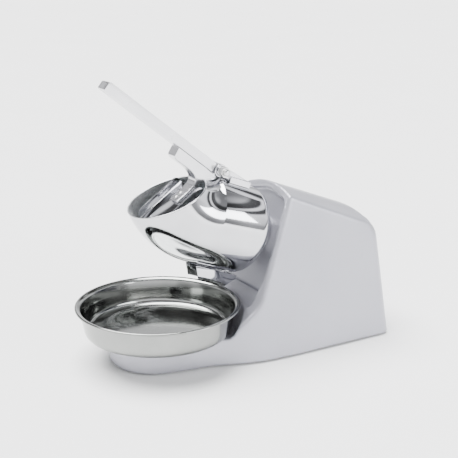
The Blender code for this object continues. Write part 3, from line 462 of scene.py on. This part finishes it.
def combine(target, operation, *others):
    for other in others:
        modifier = target.modifiers.new(operation, "BOOLEAN")
        modifier.operation = operation
        modifier.solver = "EXACT"
        modifier.object = other
    apply(target)
    for other in others:
        bpy.data.objects.remove(other, do_unlink=True)
    return target


def soften(obj, voxel, passes, factor=0.5):
    """Remeshes a solid finely and rounds its edges, as a cast surface has."""
    remesh = obj.modifiers.new("cast skin", "REMESH")
    remesh.mode = "VOXEL"
    remesh.voxel_size = voxel * MM
    smooth = obj.modifiers.new("cast edges", "SMOOTH")
    smooth.factor = factor
    smooth.iterations = passes
    return apply(obj)


def edged(obj, width, segments=3, angle=40):
    """Rounds the sharp edges by a bevel of this width in millimetres."""
    bevel = obj.modifiers.new("edges", "BEVEL")
    bevel.width = width * MM
    bevel.segments = segments
    bevel.limit_method = "ANGLE"
    bevel.angle_limit = math.radians(angle)
    bevel.harden_normals = False
    return apply(obj)


def shown(obj, look, body, *nodes, slot=None, angle=35):
    """Gives a piece its finish and its body, and hides the CAD nodes that it stands for."""
    obj.data.materials.clear()
    obj.data.materials.append(LOOKS[look])
    obj.data.shade_smooth()
    if angle:
        obj.data.set_sharp_from_angle(angle=math.radians(angle))
    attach(obj, body)
    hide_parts(*nodes)
    return obj


# ---------------------------------------------------------------- housing

PLAN_SIDE = [
    (0, -156.5),
    (15, -155),
    (28, -150),
    (41, -140.5),
    (51, -126),
    (56.5, -107),
    (60.5, -86),
    (64.5, -60),
    (71.5, -38),
    (79, -16),
    (84, 8),
    (86.3, 45),
    (87, 100),
    (87, 150),
    (86.3, 178),
]


def plan_half(inset):
    """Half outline from the nose to the rear, in millimetres, moved inwards by inset."""
    side = smooth_line(PLAN_SIDE, 6)
    rear = 196.5 + 2
    for step in range(1, 11):
        angle = math.pi / 2 * step / 10
        side.append((72.3 + 14 * math.cos(angle), rear - 14 * (1 - math.sin(angle))))
    moved = []
    for index, (x, y) in enumerate(side):
        before = side[max(index - 1, 0)]
        after = side[min(index + 1, len(side) - 1)]
        run = Vector(after) - Vector(before)
        if index == 0:
            run = Vector((1, 0))
        if index == len(side) - 1:
            run = Vector((-1, 0))
        inward = Vector((-run.y, run.x)).normalized() * inset
        moved.append((max(x + inward.x, 0), y + inward.y))
    return moved


def plan_ring(inset, z):
    half = []
    for x, y in plan_half(inset):
        rearward = min(max((y + 110) / 110, 0), 1)
        lean = 0.06 + 0.13 * rearward * rearward * (3 - 2 * rearward)
        nose = min(max(0, (-100 - y) / 56.5), 1)
        tail = min(max(0, (y - 150) / 46.5), 1)
        shifted = (x - lean * z * min(1, x / 40), y + 0.06 * z * nose - REAR_LEAN * z * tail, z)
        half.append(tuple(value * MM for value in shifted))
    return half + [(-x, y, z) for x, y, z in reversed(half) if x > 0.1 * MM]


def crown(height):
    spread = math.asin(100 / 143)
    arch = []
    for step in range(-24, 25):
        angle = spread * step / 24
        arch.append((143 * math.sin(angle) * MM, (height - 143 + 143 * math.cos(angle)) * MM))
    return [(-0.1, -0.30), *arch, (0.1, -0.30)]


def round_rear(body, reach):
    """Rounds the edge between the roof and the rear wall, with the round starting this far from the edge in millimetres."""
    bm = bmesh.new()
    bm.from_mesh(body.data)
    bmesh.ops.remove_doubles(bm, verts=bm.verts, dist=0.0002)
    edges = []
    for edge in bm.edges:
        sharp = len(edge.link_faces) == 2 and edge.calc_face_angle() > math.radians(30)
        behind = all(vert.co.y > 180 * MM and vert.co.z > 90 * MM for vert in edge.verts)
        if sharp and behind:
            edges.append(edge)
    bmesh.ops.bevel(bm, geom=edges, offset=reach * MM, segments=10, profile=0.5, affect="EDGES")
    bm.to_mesh(body.data)
    bm.free()


def housing_outside():
    """The outer skin before its recesses, with broad soft edges along the roof and the rear corners."""
    body = loft("housing", [plan_ring(0, -40), plan_ring(0, 36), plan_ring(0, 230)])
    sweep = [(-40, 38.4), (-34, 40.4), (-24, 46.2), (-10, 56.5), (2.5, 66.5), (8, 74), (10.8, 79.5)]
    outline = [
        *mm([(-180, -60), (-180, 38)]),
        *mm([(-46, 38)]),
        *mm(smooth_line(sweep, 4)),
        *rounded([(61.5, 198, 0), (61.5, 207, 0), (190, 157.5, 0), (199.5, -60, 0)]),
    ]
    combine(
        body,
        "INTERSECT",
        plate("side_view", outline, -0.11, 0.11, SIDE_VIEW),
        plate("arch", crown(68.2), -0.30, 0.25, ACROSS_AXIS),
    )
    round_rear(body, 16)
    return body


def build_housing():
    voxel = 1.5 if FINE else 3.0
    body = soften(housing_outside(), 2.0 if FINE else 3.5, 12 if FINE else 4)
    recess_profile = [(0, 110), (107.5, 110), (107.5, 78), (106.4, 70), (104.5, 62), (101, 50), (98.9, 44.6)]
    recess_profile += [(96.5, 40), (94.3, 36.6), (91.5, 34.3), (90, 34), (0, 34)]
    recess = turned("recess", recess_profile, Matrix.Translation((0, BOWL_Y, 0)), 180, closed=False, phase=0.01)
    corners = [(-52, -64, 10), (52, -64, 10), (58, -52, 10), (43, 52, 12), (0, 61, 60), (-43, 52, 12), (-58, -52, 10)]
    pocket = plate("pocket", rounded(corners), -87 * MM, -55 * MM, ACROSS_AXIS)
    slope = mm([(-10, 61), (5.5, 63.2), (12, 69), (18.5, 80), (23, 92), (0, 110)])
    apron = plate("apron", slope, -54 * MM, 54 * MM, SIDE_VIEW)
    ground = box("ground", (-150, -250, -100), (150, 250, 2.5))
    combine(body, "DIFFERENCE", recess)
    combine(body, "DIFFERENCE", pocket)
    combine(body, "DIFFERENCE", apron)
    combine(body, "DIFFERENCE", ground)
    inside = loft("inside", [plan_ring(4, -8), plan_ring(4, 230)])
    corners = [(-170, -20, 0), (-170, 29.5, 0), (14.5, 29.5, 0), (15, 60, 0), (26, 78, 0), (30, 86, 0)]
    corners += [(71.5, 194, 0), (186.5, 153, 0), (194, -20, 0)]
    combine(
        inside,
        "INTERSECT",
        plate("inside_view", rounded(corners), -0.12, 0.12, SIDE_VIEW),
        plate("inside_arch", crown(64.2), -0.31, 0.26, ACROSS_AXIS),
    )
    round_rear(inside, 14)
    combine(body, "DIFFERENCE", inside)
    bosses = rods("bosses", 5.5, 5.4, 31, [(30, -122), (-30, -122)])
    side_bosses = rods("side_bosses", 5.5, 5.4, 26, [(71, 172), (-71, 172)])
    webs = [box(f"web_{s}", (s * 74.5 - 5.5, 169.5, 6.7), (s * 74.5 + 5.5, 174.5, 22.7)) for s in (1, -1)]
    combine(body, "UNION", bosses, side_bosses, *webs)
    soften(body, voxel, 5 if FINE else 2)
    bores = rods("bores", 1.7, 2, 20, [(30, -122), (-30, -122), (71, 172), (-71, 172)], sides=24)
    holes = [bores, rods("seal_hole", 11.3, 80, 95, [(0, 0)], DRUM)]
    places = [(21 * math.cos(a), 21 * math.sin(a)) for a in (math.radians(-90 + 120 * i) for i in range(3))]
    holes.append(rods("screw_holes", 2.4, 80, 95, places, DRUM, 24))
    holes.append(box("switch_hole", (-42, 48, -15), (-22, 76, 15), REAR_FACE))
    holes.append(box("inlet_hole", (8, 52, -15), (36, 72, 15), REAR_FACE))
    combine(body, "DIFFERENCE", *holes)
    shown(body, "silver_paint", "machine", "body_casting", angle=50)


build_housing()

# ---------------------------------------------------------------- base plate and feet

SCREW_SPOTS = [(30, -122), (-30, -122), (71, 172), (-71, 172)]
FEET = {
    "foot_front_left": (-34, -104),
    "foot_front_right": (34, -104),
    "foot_rear_left": (-62, 150),
    "foot_rear_right": (62, 150),
}


def build_base():
    rear = REAR_Y - 4.8 * MM
    outline = [(x, min(y, rear)) for x, y, _ in plan_ring(4.6, 5)]
    base = plate("base_sheet", outline, 3 * MM, 5 * MM, PLAN_VIEW)
    slots = []
    for row in range(7):
        y = 84 + 9 * row
        corners = [(-30, y - 2, 1.95), (30, y - 2, 1.95), (30, y + 2, 1.95), (-30, y + 2, 1.95)]
        slots.append(plate(f"vent_{row}", rounded(corners, 6), 0, 10 * MM, PLAN_VIEW))
    slots.append(rods("foot_holes", 3.3, 0, 10, FEET.values()))
    slots.append(rods("screw_holes", 1.9, 0, 10, SCREW_SPOTS))
    combine(base, "DIFFERENCE", *slots)
    edged(base, 0.35, 2)
    shown(base, "plated_steel", "machine", "base_plate")
    profile = [(0, 8), (2.2, 8), (2.8, 7.5), (3, 6.8), (3, 2.7), (9.3, 2.7), (9.8, 2.5), (10, 2.1), (9.5, 0.7), (9.1, 0.2)]
    profile += [(8.6, 0), (5.2, 0), (4.9, 0.35), (0, 0.35)]
    for name, (x, y) in FEET.items():
        foot = turned(f"{name}_rubber", profile, Matrix.Translation((x * MM, y * MM, 0)), 64, closed=False)
        shown(foot, "black_rubber", "machine", name)


build_base()

# ---------------------------------------------------------------- bowl


def build_bowl():
    inner = [(0, 36.15), (30, 36.1), (60, 36), (78, 35.8), (82.5, 36.1), (85.7, 37.3), (87.6, 39.2), (88.6, 41.8)]
    inner += [(89.3, 46), (90.4, 53), (92.5, 65.6), (93.2, 67.4), (94.4, 68.6), (96, 69.3), (98.3, 69.9)]
    roll = [(99.2, 69.75), (99.8, 69.2), (99.95, 68.5), (99.7, 67.7), (99, 67.25), (98.2, 67.5), (97.9, 68.1)]
    outer = [(96.6, 67.9), (95.2, 67.2), (94.2, 66), (93.7, 64.6), (91.6, 52.6), (90.4, 45.2), (89.7, 41.2)]
    outer += [(88.6, 38.4), (86.4, 36), (83.2, 34.9), (80, 34.6), (60, 34.55), (58, 34.9), (30, 34.95), (0, 34.95)]
    bowl = turned("bowl_spun", [*inner, *roll, *outer], Matrix.Translation((0, BOWL_Y, 0)), 192, closed=False)
    shown(bowl, "spun_steel", "bowl", "ice_bowl", slot="polished_steel", angle=50)


build_bowl()

# ---------------------------------------------------------------- hopper, collar and chute


def hopper_rings(wall, count):
    rings = []
    circle = [(math.cos(2 * math.pi * i / count), math.sin(2 * math.pi * i / count)) for i in range(count)]
    start = math.radians(20.5)
    bend_end = math.pi / 2 - TILT
    drum_distance = (PIVOT - AXIS_ORIGIN).dot(UP)
    wall *= MM
    steps = 40
    for step in range(steps + 1):
        share = step / steps
        angle = start + (bend_end - start) * share
        outward = Vector((0, -math.cos(angle), -math.sin(angle)))
        centre = PIVOT + outward * (0.072 + (drum_distance - 0.072) * share)
        radius = (49.7 + 5.3 * share) * MM - wall
        rings.append([centre + Vector((radius * c, 0, 0)) - outward * radius * s for c, s in circle])
    corner = 14 * MM - wall
    for step in range(13):
        angle = math.pi / 2 * step / 12
        centre = AXIS_ORIGIN + ALONG * (57 * MM + corner * math.sin(angle))
        radius = 41 * MM + corner * math.cos(angle)
        rings.append([centre + Vector((radius * c, 0, 0)) + UP * radius * s for c, s in circle])
    return rings


def build_hopper():
    count = 144
    outer = hopper_rings(0, count)
    inner = hopper_rings(1.8, count)
    # The lip takes the place of the mouth's first ring, and is shallower where the rings crowd together.
    depths = [min(0.9 * MM, (Vector(b) - Vector(a)).length * 0.6) for a, b in zip(outer[0], outer[1])]
    lip = []
    for step in range(1, 6):
        angle = math.pi * step / 6
        ring = []
        for a, b, deeper, depth in zip(outer[0], inner[0], outer[1], depths):
            middle = (Vector(a) + Vector(b)) / 2
            half = (Vector(b) - Vector(a)) / 2
            outwards = (Vector(a) - Vector(deeper)).normalized()
            ring.append(middle - half * math.cos(angle) + outwards * depth * (math.sin(angle) - 1))
        lip.append(ring)
    drop = []
    for one, other in ((outer[0], outer[1]), (inner[0], inner[1])):
        moved = []
        for a, b, depth in zip(one, other, depths):
            moved.append(Vector(a) + (Vector(b) - Vector(a)).normalized() * min(depth, (Vector(b) - Vector(a)).length * 0.7))
        drop.append(moved)
    rings = [*reversed(outer[1:]), drop[0], *lip, drop[1], *inner[1:]]
    hopper = loft("hopper_drum", rings)
    arm_slot = box("arm_slot", (-40, 40, -12.2), (9, 80, 12.2), BESIDE_AXIS)
    ice_slot = box("ice_slot", (59.5, -62, -12), (66.5, -44, 12), BESIDE_AXIS)
    shaft_hole = rods("shaft_hole", 10, 60, 80, [(0, 0)], DRUM)
    places = [(21 * math.cos(a), 21 * math.sin(a)) for a in (math.radians(-90 + 120 * i) for i in range(3))]
    screws = rods("hopper_holes", 2.4, 60, 99, places, DRUM, 24)
    bracket = rods("bracket_holes", 2.4, 45, 70, [(20, 0), (35, 0)], BESIDE_AXIS @ LIE_DOWN, 24)
    combine(hopper, "DIFFERENCE", arm_slot, ice_slot, shaft_hole, screws, bracket)
    shown(hopper, "polished_steel", "machine", "hopper")
    hopper.data.materials.append(LOOKS["satin_inside"])
    centres = [sum((Vector(p) for p in ring), Vector()) / len(ring) for ring in outer[:-10]]
    for face in hopper.data.polygons:
        if (face.center - AXIS_ORIGIN).dot(ALONG) > 0:
            along = (face.center - AXIS_ORIGIN).dot(ALONG)
            centre = AXIS_ORIGIN + ALONG * min(along, 57 * MM)
        else:
            centre = min(centres, key=lambda c: (c - face.center).length_squared)
        face.material_index = 1 if face.normal.dot(face.center - centre) < 0 else 0
    profile = [(27.2, 86.7), (28, 86), (28, 72), (27.3, 71.3), (14.4, 71.3), (14, 71.7), (14, 86.3), (14.4, 86.7)]
    collar = turned("collar_ring", profile, DRUM, 96)
    combine(collar, "DIFFERENCE", rods("collar_holes", 2.4, 60, 99, places, DRUM, 24))
    shown(collar, "polished_aluminium", "machine", "hopper_collar")


def build_chute():
    outer = mm([(6.3, -55.9), (67.7, -55.9), (67.7, -60), (54.9, -72.7), (16, -72.7)])
    inner = mm([(-5, -50), (66.2, -50), (66.2, -59.3), (46, -79.5), (-5, -79.5)])
    chute = plate("chute_hood", outer, -14.3 * MM, 14.3 * MM, BESIDE_AXIS)
    combine(chute, "DIFFERENCE", plate("chute_inside", inner, -13 * MM, 13 * MM, BESIDE_AXIS))
    edged(chute, 0.4, 2)
    shown(chute, "polished_steel", "machine", "outlet_chute")


build_hopper()
build_chute()

# ---------------------------------------------------------------- screws


def cross_screw(name, place, head_r, head_h, shank_r, length, look, body, node):
    """A domed screw with a cross recess; its head's underside is at the place's origin."""
    profile = [(0, head_h)]
    for step in range(1, 8):
        angle = math.pi / 2 * step / 8
        profile.append((head_r * math.sin(angle) * 0.98, head_h * (0.25 + 0.75 * math.cos(angle))))
    profile += [(head_r, head_h * 0.2), (head_r, 0), (shank_r, 0), (shank_r, -length + 0.5), (shank_r - 0.5, -length)]
    profile.append((0, -length))
    screw = turned(name, profile, place, 40, closed=False)
    arm = head_r * 0.55
    wide = head_r * 0.13
    low = head_h * 0.35
    one = box("slot_one", (-arm, -wide, low), (arm, wide, head_h + 1), place)
    two = box("slot_two", (-wide, -arm, low), (wide, arm, head_h + 1), place @ Matrix.Rotation(0.001, 4, "Z"))
    combine(screw, "DIFFERENCE", one, two)
    shown(screw, look, body, node, angle=30)


flipped = Matrix.Rotation(math.pi, 4, "X")
for index, (x, y) in enumerate(SCREW_SPOTS, 1):
    spot = Matrix.Translation((x * MM, y * MM, 2.7 * MM)) @ flipped
    cross_screw(f"base_screw_{index}", spot, 3.2, 1.6, 1.4, 13, "plated_steel", "machine", f"base_plate_screw_{index}")
for index, a in enumerate((20, 35), 1):
    spot = BESIDE_AXIS @ LIE_DOWN @ Matrix.Translation((a * MM, 0, 59.8 * MM))
    cross_screw(f"hinge_screw_{index}", spot, 4, 2.4, 2, 8.5, "plated_steel", "machine", f"bracket_screw_{index}")
for index, a in enumerate((24, 58), 1):
    spot = HANDLE_LINE @ LIE_DOWN @ Matrix.Translation((a * MM, 0, 4.8 * MM))
    cross_screw(f"grip_screw_{index}", spot, 4, 1.2, 2, 16, "plated_steel", "lever", f"handle_screw_{index}")
for index, a in enumerate((54, 61.5), 1):
    spot = PUSHER_LINE @ LIE_DOWN @ Matrix.Translation((a * MM, 0, 8.9 * MM))
    cross_screw(f"tray_screw_{index}", spot, 3.2, 2, 1.6, 5.6, "plated_steel", "lever", f"pusher_screw_{index}")

# ---------------------------------------------------------------- hinge and lever


def build_hinge():
    eye = []
    eye_x = (PIVOT - AXIS_ORIGIN).dot(ALONG)
    eye_y = (PIVOT - AXIS_ORIGIN).dot(UP)
    for step in range(33):
        angle = math.radians(65 + 205 * step / 32)
        eye.append((eye_x + 6.6 * MM * math.cos(angle), eye_y + 6.6 * MM * math.sin(angle)))
    outline = [*eye, *mm([(14, 56), (41, 56), (41, 59.8), (34, 61), (26, 63)])]
    bracket = box("hinge_casting", (12, 45, -19), (42, 59.5, 19), BESIDE_AXIS)
    ears = [
        plate("left_ear", outline, 11.4 * MM, 15.4 * MM, BESIDE_AXIS),
        plate("right_ear", outline, -15.4 * MM, -11.4 * MM, BESIDE_AXIS),
    ]
    combine(bracket, "UNION", *ears)
    drum = rods("drum_room", 55.3, -20, 60, [(0, 0)], DRUM, 128)
    bore = rods("pivot_room", 4.3, -30, 30, [(0, 0)], ACROSS_PIVOT)
    holes = rods("bracket_room", 2.4, 45, 70, [(20, 0), (35, 0)], BESIDE_AXIS @ LIE_DOWN, 24)
    combine(bracket, "DIFFERENCE", drum, bore)
    combine(bracket, "DIFFERENCE", holes)
    if FINE:
        soften(bracket, 0.45, 3)
    shown(bracket, "polished_aluminium", "machine", "hinge_bracket", angle=60)


def build_pivot():
    head = 17.4
    profile = [(0, 28), (2.6, 27.8), (3.2, 27.3)]
    z = 26.6
    while z > 23.8:
        profile += [(4, z), (3.72, z - 0.35)]
        z -= 0.7
    profile += [(4, 23), (4, -head), (6.2, -head), (6.4, -head - 0.2), (6.4, -head - 2.9), (6, -head - 3.6)]
    profile += [(5, -head - 4.6), (3, -head - 5.2), (0, -head - 5.4)]
    bolt = turned("hinge_bolt", profile, ACROSS_PIVOT, 64, closed=False)
    slot = rods("bolt_socket", 2.5, -30, -head - 3, [(0, 0)], ACROSS_PIVOT, 6)
    combine(bolt, "DIFFERENCE", slot)
    shown(bolt, "plated_steel", "machine", "pivot_bolt", angle=40)
    nut = rods("hinge_nut", 6.6, 17.4, 23.4, [(0, 0)], ACROSS_PIVOT, 6)
    cone = turned("chamfer", [(0, 17), (5.9, 17.2), (7.2, 18.2), (7.2, 22.6), (5.9, 23.6), (0, 23.8)], ACROSS_PIVOT, 64, False)
    combine(nut, "INTERSECT", cone)
    combine(nut, "DIFFERENCE", rods("nut_bore", 4.3, 0, 40, [(0, 0)], ACROSS_PIVOT))
    shown(nut, "plated_steel", "machine", "pivot_nut", angle=30)
    for name, low in (("pivot_washer_right", 15.7), ("pivot_washer_left", -17.1)):
        high = low + 1.4
        ring = [(6.2, high), (6.4, high - 0.2), (6.4, low + 0.2), (6.2, low), (4.4, low), (4.3, low + 0.1), (4.3, high - 0.1)]
        ring.append((4.4, high))
        shown(turned(f"{name}_plated", ring, ACROSS_PIVOT), "plated_steel", "machine", name)


def on_line(line, points):
    return [(place.y, place.z) for place in (line @ Vector((a, b, 0)) for a, b in mm(points))]


def build_arm():
    top = on_line(LOCAL_HANDLE, [(0, -7.3), (64, -7.3)])
    nose = mm(smooth_line([(-60.5, 22.5), (-57, 18.2), (-49, 12), (-39.5, 4), (-34.5, -3), (-33.6, -9), (-36.5, -13.8)], 5))
    toe = on_line(LOCAL_PUSHER, [(49, 8.5), (66, 8.5), (66, 5.3), (30.5, 5.3), (24, 2), (10, -5.5), (0, -7.3)])
    arm = plate("press_arm", [*top, *mm([(-61, 24)]), *nose, *toe], -9 * MM, 9 * MM, AT_PIVOT @ SIDE_VIEW)
    hub = rods("hub", 8, -11, 11, [(0, 0)], ACROSS_PIVOT, 64)
    combine(arm, "UNION", hub)
    if FINE:
        soften(arm, 0.6, 6)
    holes = [rods("arm_bore", 5.4, -20, 20, [(0, 0)], ACROSS_PIVOT)]
    holes.append(rods("arm_holes", 2.4, -14, 10, [(24, 0), (58, 0)], HANDLE_LINE @ LIE_DOWN, 24))
    holes.append(rods("toe_holes", 1.9, 0, 12, [(54, 0), (61.5, 0)], PUSHER_LINE @ LIE_DOWN, 24))
    combine(arm, "DIFFERENCE", *holes)
    shown(arm, "polished_aluminium", "lever", "lever_arm", angle=60)


def build_handle():
    corners = [(9.5, -7, 1), (180.8, -7, 1.5), (180.8, 4.4, 3), (9.5, 4.4, 3)]
    bar = plate("handle_casting", rounded(corners, 6), -10 * MM, 10 * MM, HANDLE_LINE)
    edged(bar, 2.2, 5, 60)
    combine(bar, "DIFFERENCE", rods("bar_holes", 2.4, -14, 10, [(24, 0), (58, 0)], HANDLE_LINE @ LIE_DOWN, 24))
    shown(bar, "polished_aluminium", "lever", "handle_bar", angle=40)


def build_pusher():
    corners = [(37, 3, 1), (105, 3, 1), (105, 14, 8), (37, 14, 5)]
    tray = plate("press_tray", rounded(corners, 10), -31 * MM, 31 * MM, PUSHER_LINE)
    channel = box("channel", (20, 5, -29.2), (120, 30, 29.2), PUSHER_LINE)
    edged(channel, 1.6, 4)
    combine(tray, "DIFFERENCE", channel)
    edged(tray, 0.5, 3, 50)
    combine(tray, "DIFFERENCE", rods("tray_holes", 1.9, 0, 12, [(54, 0), (61.5, 0)], PUSHER_LINE @ LIE_DOWN, 24))
    shown(tray, "polished_steel", "lever", "pusher_plate", angle=40)


build_hinge()
build_pivot()
build_arm()
build_handle()
build_pusher()

# ---------------------------------------------------------------- switch and inlet


def fitting(name, centre, half, flange, depth):
    x, y = centre
    a, b = half
    bezel = [(-a - flange, -b - flange, 2.5), (a + flange, -b - flange, 2.5), (a + flange, b + flange, 2.5)]
    bezel.append((-a - flange, b + flange, 2.5))
    outline = rounded([(x + p, y + q, r) for p, q, r in bezel], 6)
    body = plate(name, outline, 0.4 * MM, 2.2 * MM, REAR_FACE)
    edged(body, 0.6, 3, 50)
    inner = box("fit", (x - a + 0.3, y - b + 0.3, -depth), (x + a - 0.3, y + b - 0.3, 1), REAR_FACE)
    return combine(body, "UNION", inner)


def build_switch():
    frame_piece = fitting("switch_bezel", (-32, 62), (10, 14), 1.8, 20)
    combine(frame_piece, "DIFFERENCE", box("well", (-40, 50, -9), (-24, 74, 5), REAR_FACE))
    shown(frame_piece, "black_plastic", "machine", "switch_frame")
    pivot = REAR_FACE @ Vector((-32 * MM, 62 * MM, -3.5 * MM))
    view = Matrix.Translation(pivot) @ Matrix.Rotation(math.atan(REAR_LEAN), 4, "X") @ SIDE_VIEW
    outline = mm([(4, 10.6), (3.7, 5), (3.85, 0), (4.4, -5), (5.2, -10.6), (1.6, -9.6), (-3.2, -3.2), (-3.2, 3.2), (0.2, 9.8)])
    rocker = plate("switch_rocker", outline, -7.6 * MM, 7.6 * MM, view)
    edged(rocker, 0.4, 3, 30)
    shown(rocker, "red_plastic", "rocker", "power_rocker", angle=30)


def build_inlet():
    socket = fitting("inlet_socket", (22, 62), (14, 10), 2.5, 22)
    combine(socket, "DIFFERENCE", box("well", (10, 54, -17), (34, 70, 5), REAR_FACE))
    pins = []
    for x, y in ((-7, -2), (0, 2.5), (7, -2)):
        pin = box("pin", (22 + x - 1, 62 + y - 2, -18), (22 + x + 1, 62 + y + 2, -6), REAR_FACE)
        pins.append(edged(pin, 0.3, 2))
    combine(socket, "UNION", *pins)
    shown(socket, "black_plastic", "machine", "power_inlet")


build_switch()
build_inlet()

# ---------------------------------------------------------------- stage, light, camera


def build_stage():
    bpy.ops.mesh.primitive_plane_add(size=60)
    floor = bpy.context.active_object
    floor.name = "floor"
    n = Nodes("floor_look")
    tone = n.mix(n.span(n.noise(3, 3), 0, 1), (0.93, 0.93, 0.93), (0.95, 0.95, 0.95))
    rough = n.span(n.noise(30, 2), 0.90, 0.98)
    floor.data.materials.append(n.finish(tone, rough, 0.0, Specular_IOR_Level=0.05))
    world = bpy.data.worlds.new("studio")
    world.use_nodes = True
    bpy.context.scene.world = world
    tree = world.node_tree
    background = tree.nodes["Background"]
    coords = tree.nodes.new("ShaderNodeTexCoord")
    split = tree.nodes.new("ShaderNodeSeparateXYZ")
    ramp = tree.nodes.new("ShaderNodeValToRGB")
    tree.links.new(coords.outputs["Generated"], split.inputs["Vector"])
    tree.links.new(split.outputs["Z"], ramp.inputs["Fac"])
    tree.links.new(ramp.outputs["Color"], background.inputs["Color"])
    # Bands of light and shade by height above the horizon, as the sides of a light tent with gaps between its panels.
    bands = [(0.0, 0.42), (0.10, 0.50), (0.16, 0.95), (0.40, 1.0), (0.43, 0.07), (0.49, 0.07), (0.505, 1.0)]
    bands += [(0.545, 1.0), (0.56, 0.06), (0.66, 0.10), (0.71, 0.55), (0.85, 0.50), (1.0, 0.36)]
    ramp.color_ramp.elements[0].position = bands[0][0]
    ramp.color_ramp.elements[1].position = bands[-1][0]
    for position, _ in bands[1:-1]:
        ramp.color_ramp.elements.new(position)
    for element, (_, value) in zip(ramp.color_ramp.elements, bands):
        element.color = (value, value * 1.005, value * 1.03, 1)
    patches = tree.nodes.new("ShaderNodeTexNoise")
    patches.inputs["Scale"].default_value = 1.6
    patches.inputs["Detail"].default_value = 1
    tree.links.new(coords.outputs["Generated"], patches.inputs["Vector"])
    span = tree.nodes.new("ShaderNodeMapRange")
    span.inputs["From Min"].default_value = 0.40
    span.inputs["From Max"].default_value = 0.60
    span.inputs["To Min"].default_value = 0.80
    span.inputs["To Max"].default_value = 2.20
    tree.links.new(patches.outputs["Fac"], span.inputs["Value"])
    tree.links.new(span.outputs["Result"], background.inputs["Strength"])


def sun(name, source, strength, angle, colour=(1, 1, 1)):
    light = bpy.data.lights.new(name, "SUN")
    light.energy = strength
    light.angle = math.radians(angle)
    light.color = colour
    obj = bpy.data.objects.new(name, light)
    bpy.context.scene.collection.objects.link(obj)
    obj.rotation_euler = (-Vector(source)).to_track_quat("-Z", "Y").to_euler()
    return obj


def area(name, place, target, size, power, colour=(1, 1, 1)):
    light = bpy.data.lights.new(name, "AREA")
    light.shape = "RECTANGLE"
    light.size, light.size_y = size
    light.energy = power
    light.color = colour
    obj = bpy.data.objects.new(name, light)
    bpy.context.scene.collection.objects.link(obj)
    obj.location = place
    obj.rotation_euler = (Vector(target) - Vector(place)).to_track_quat("-Z", "Y").to_euler()
    return obj


def build_camera():
    turn = math.radians(59.63)
    rise = math.radians(16.34)
    target = Vector((0, 3.2, 148.2)) * MM
    away = Vector((math.sin(turn) * math.cos(rise), -math.cos(turn) * math.cos(rise), math.sin(rise)))
    camera = bpy.data.cameras.new("camera")
    camera.lens = 76.3
    camera.sensor_width = 36
    obj = bpy.data.objects.new("camera", camera)
    bpy.context.scene.collection.objects.link(obj)
    obj.location = target + away * 1.2
    obj.rotation_euler = (-away).to_track_quat("-Z", "Y").to_euler()
    bpy.context.scene.camera = obj


build_stage()
sun("tent_top", (-0.25, -0.15, 1), 10.5, 50)
area("side_panel", (3.2, 1.7, 1.5), (0, 0.05, 0.15), (2.4, 1.2), 95, (0.97, 0.985, 1))
build_camera()
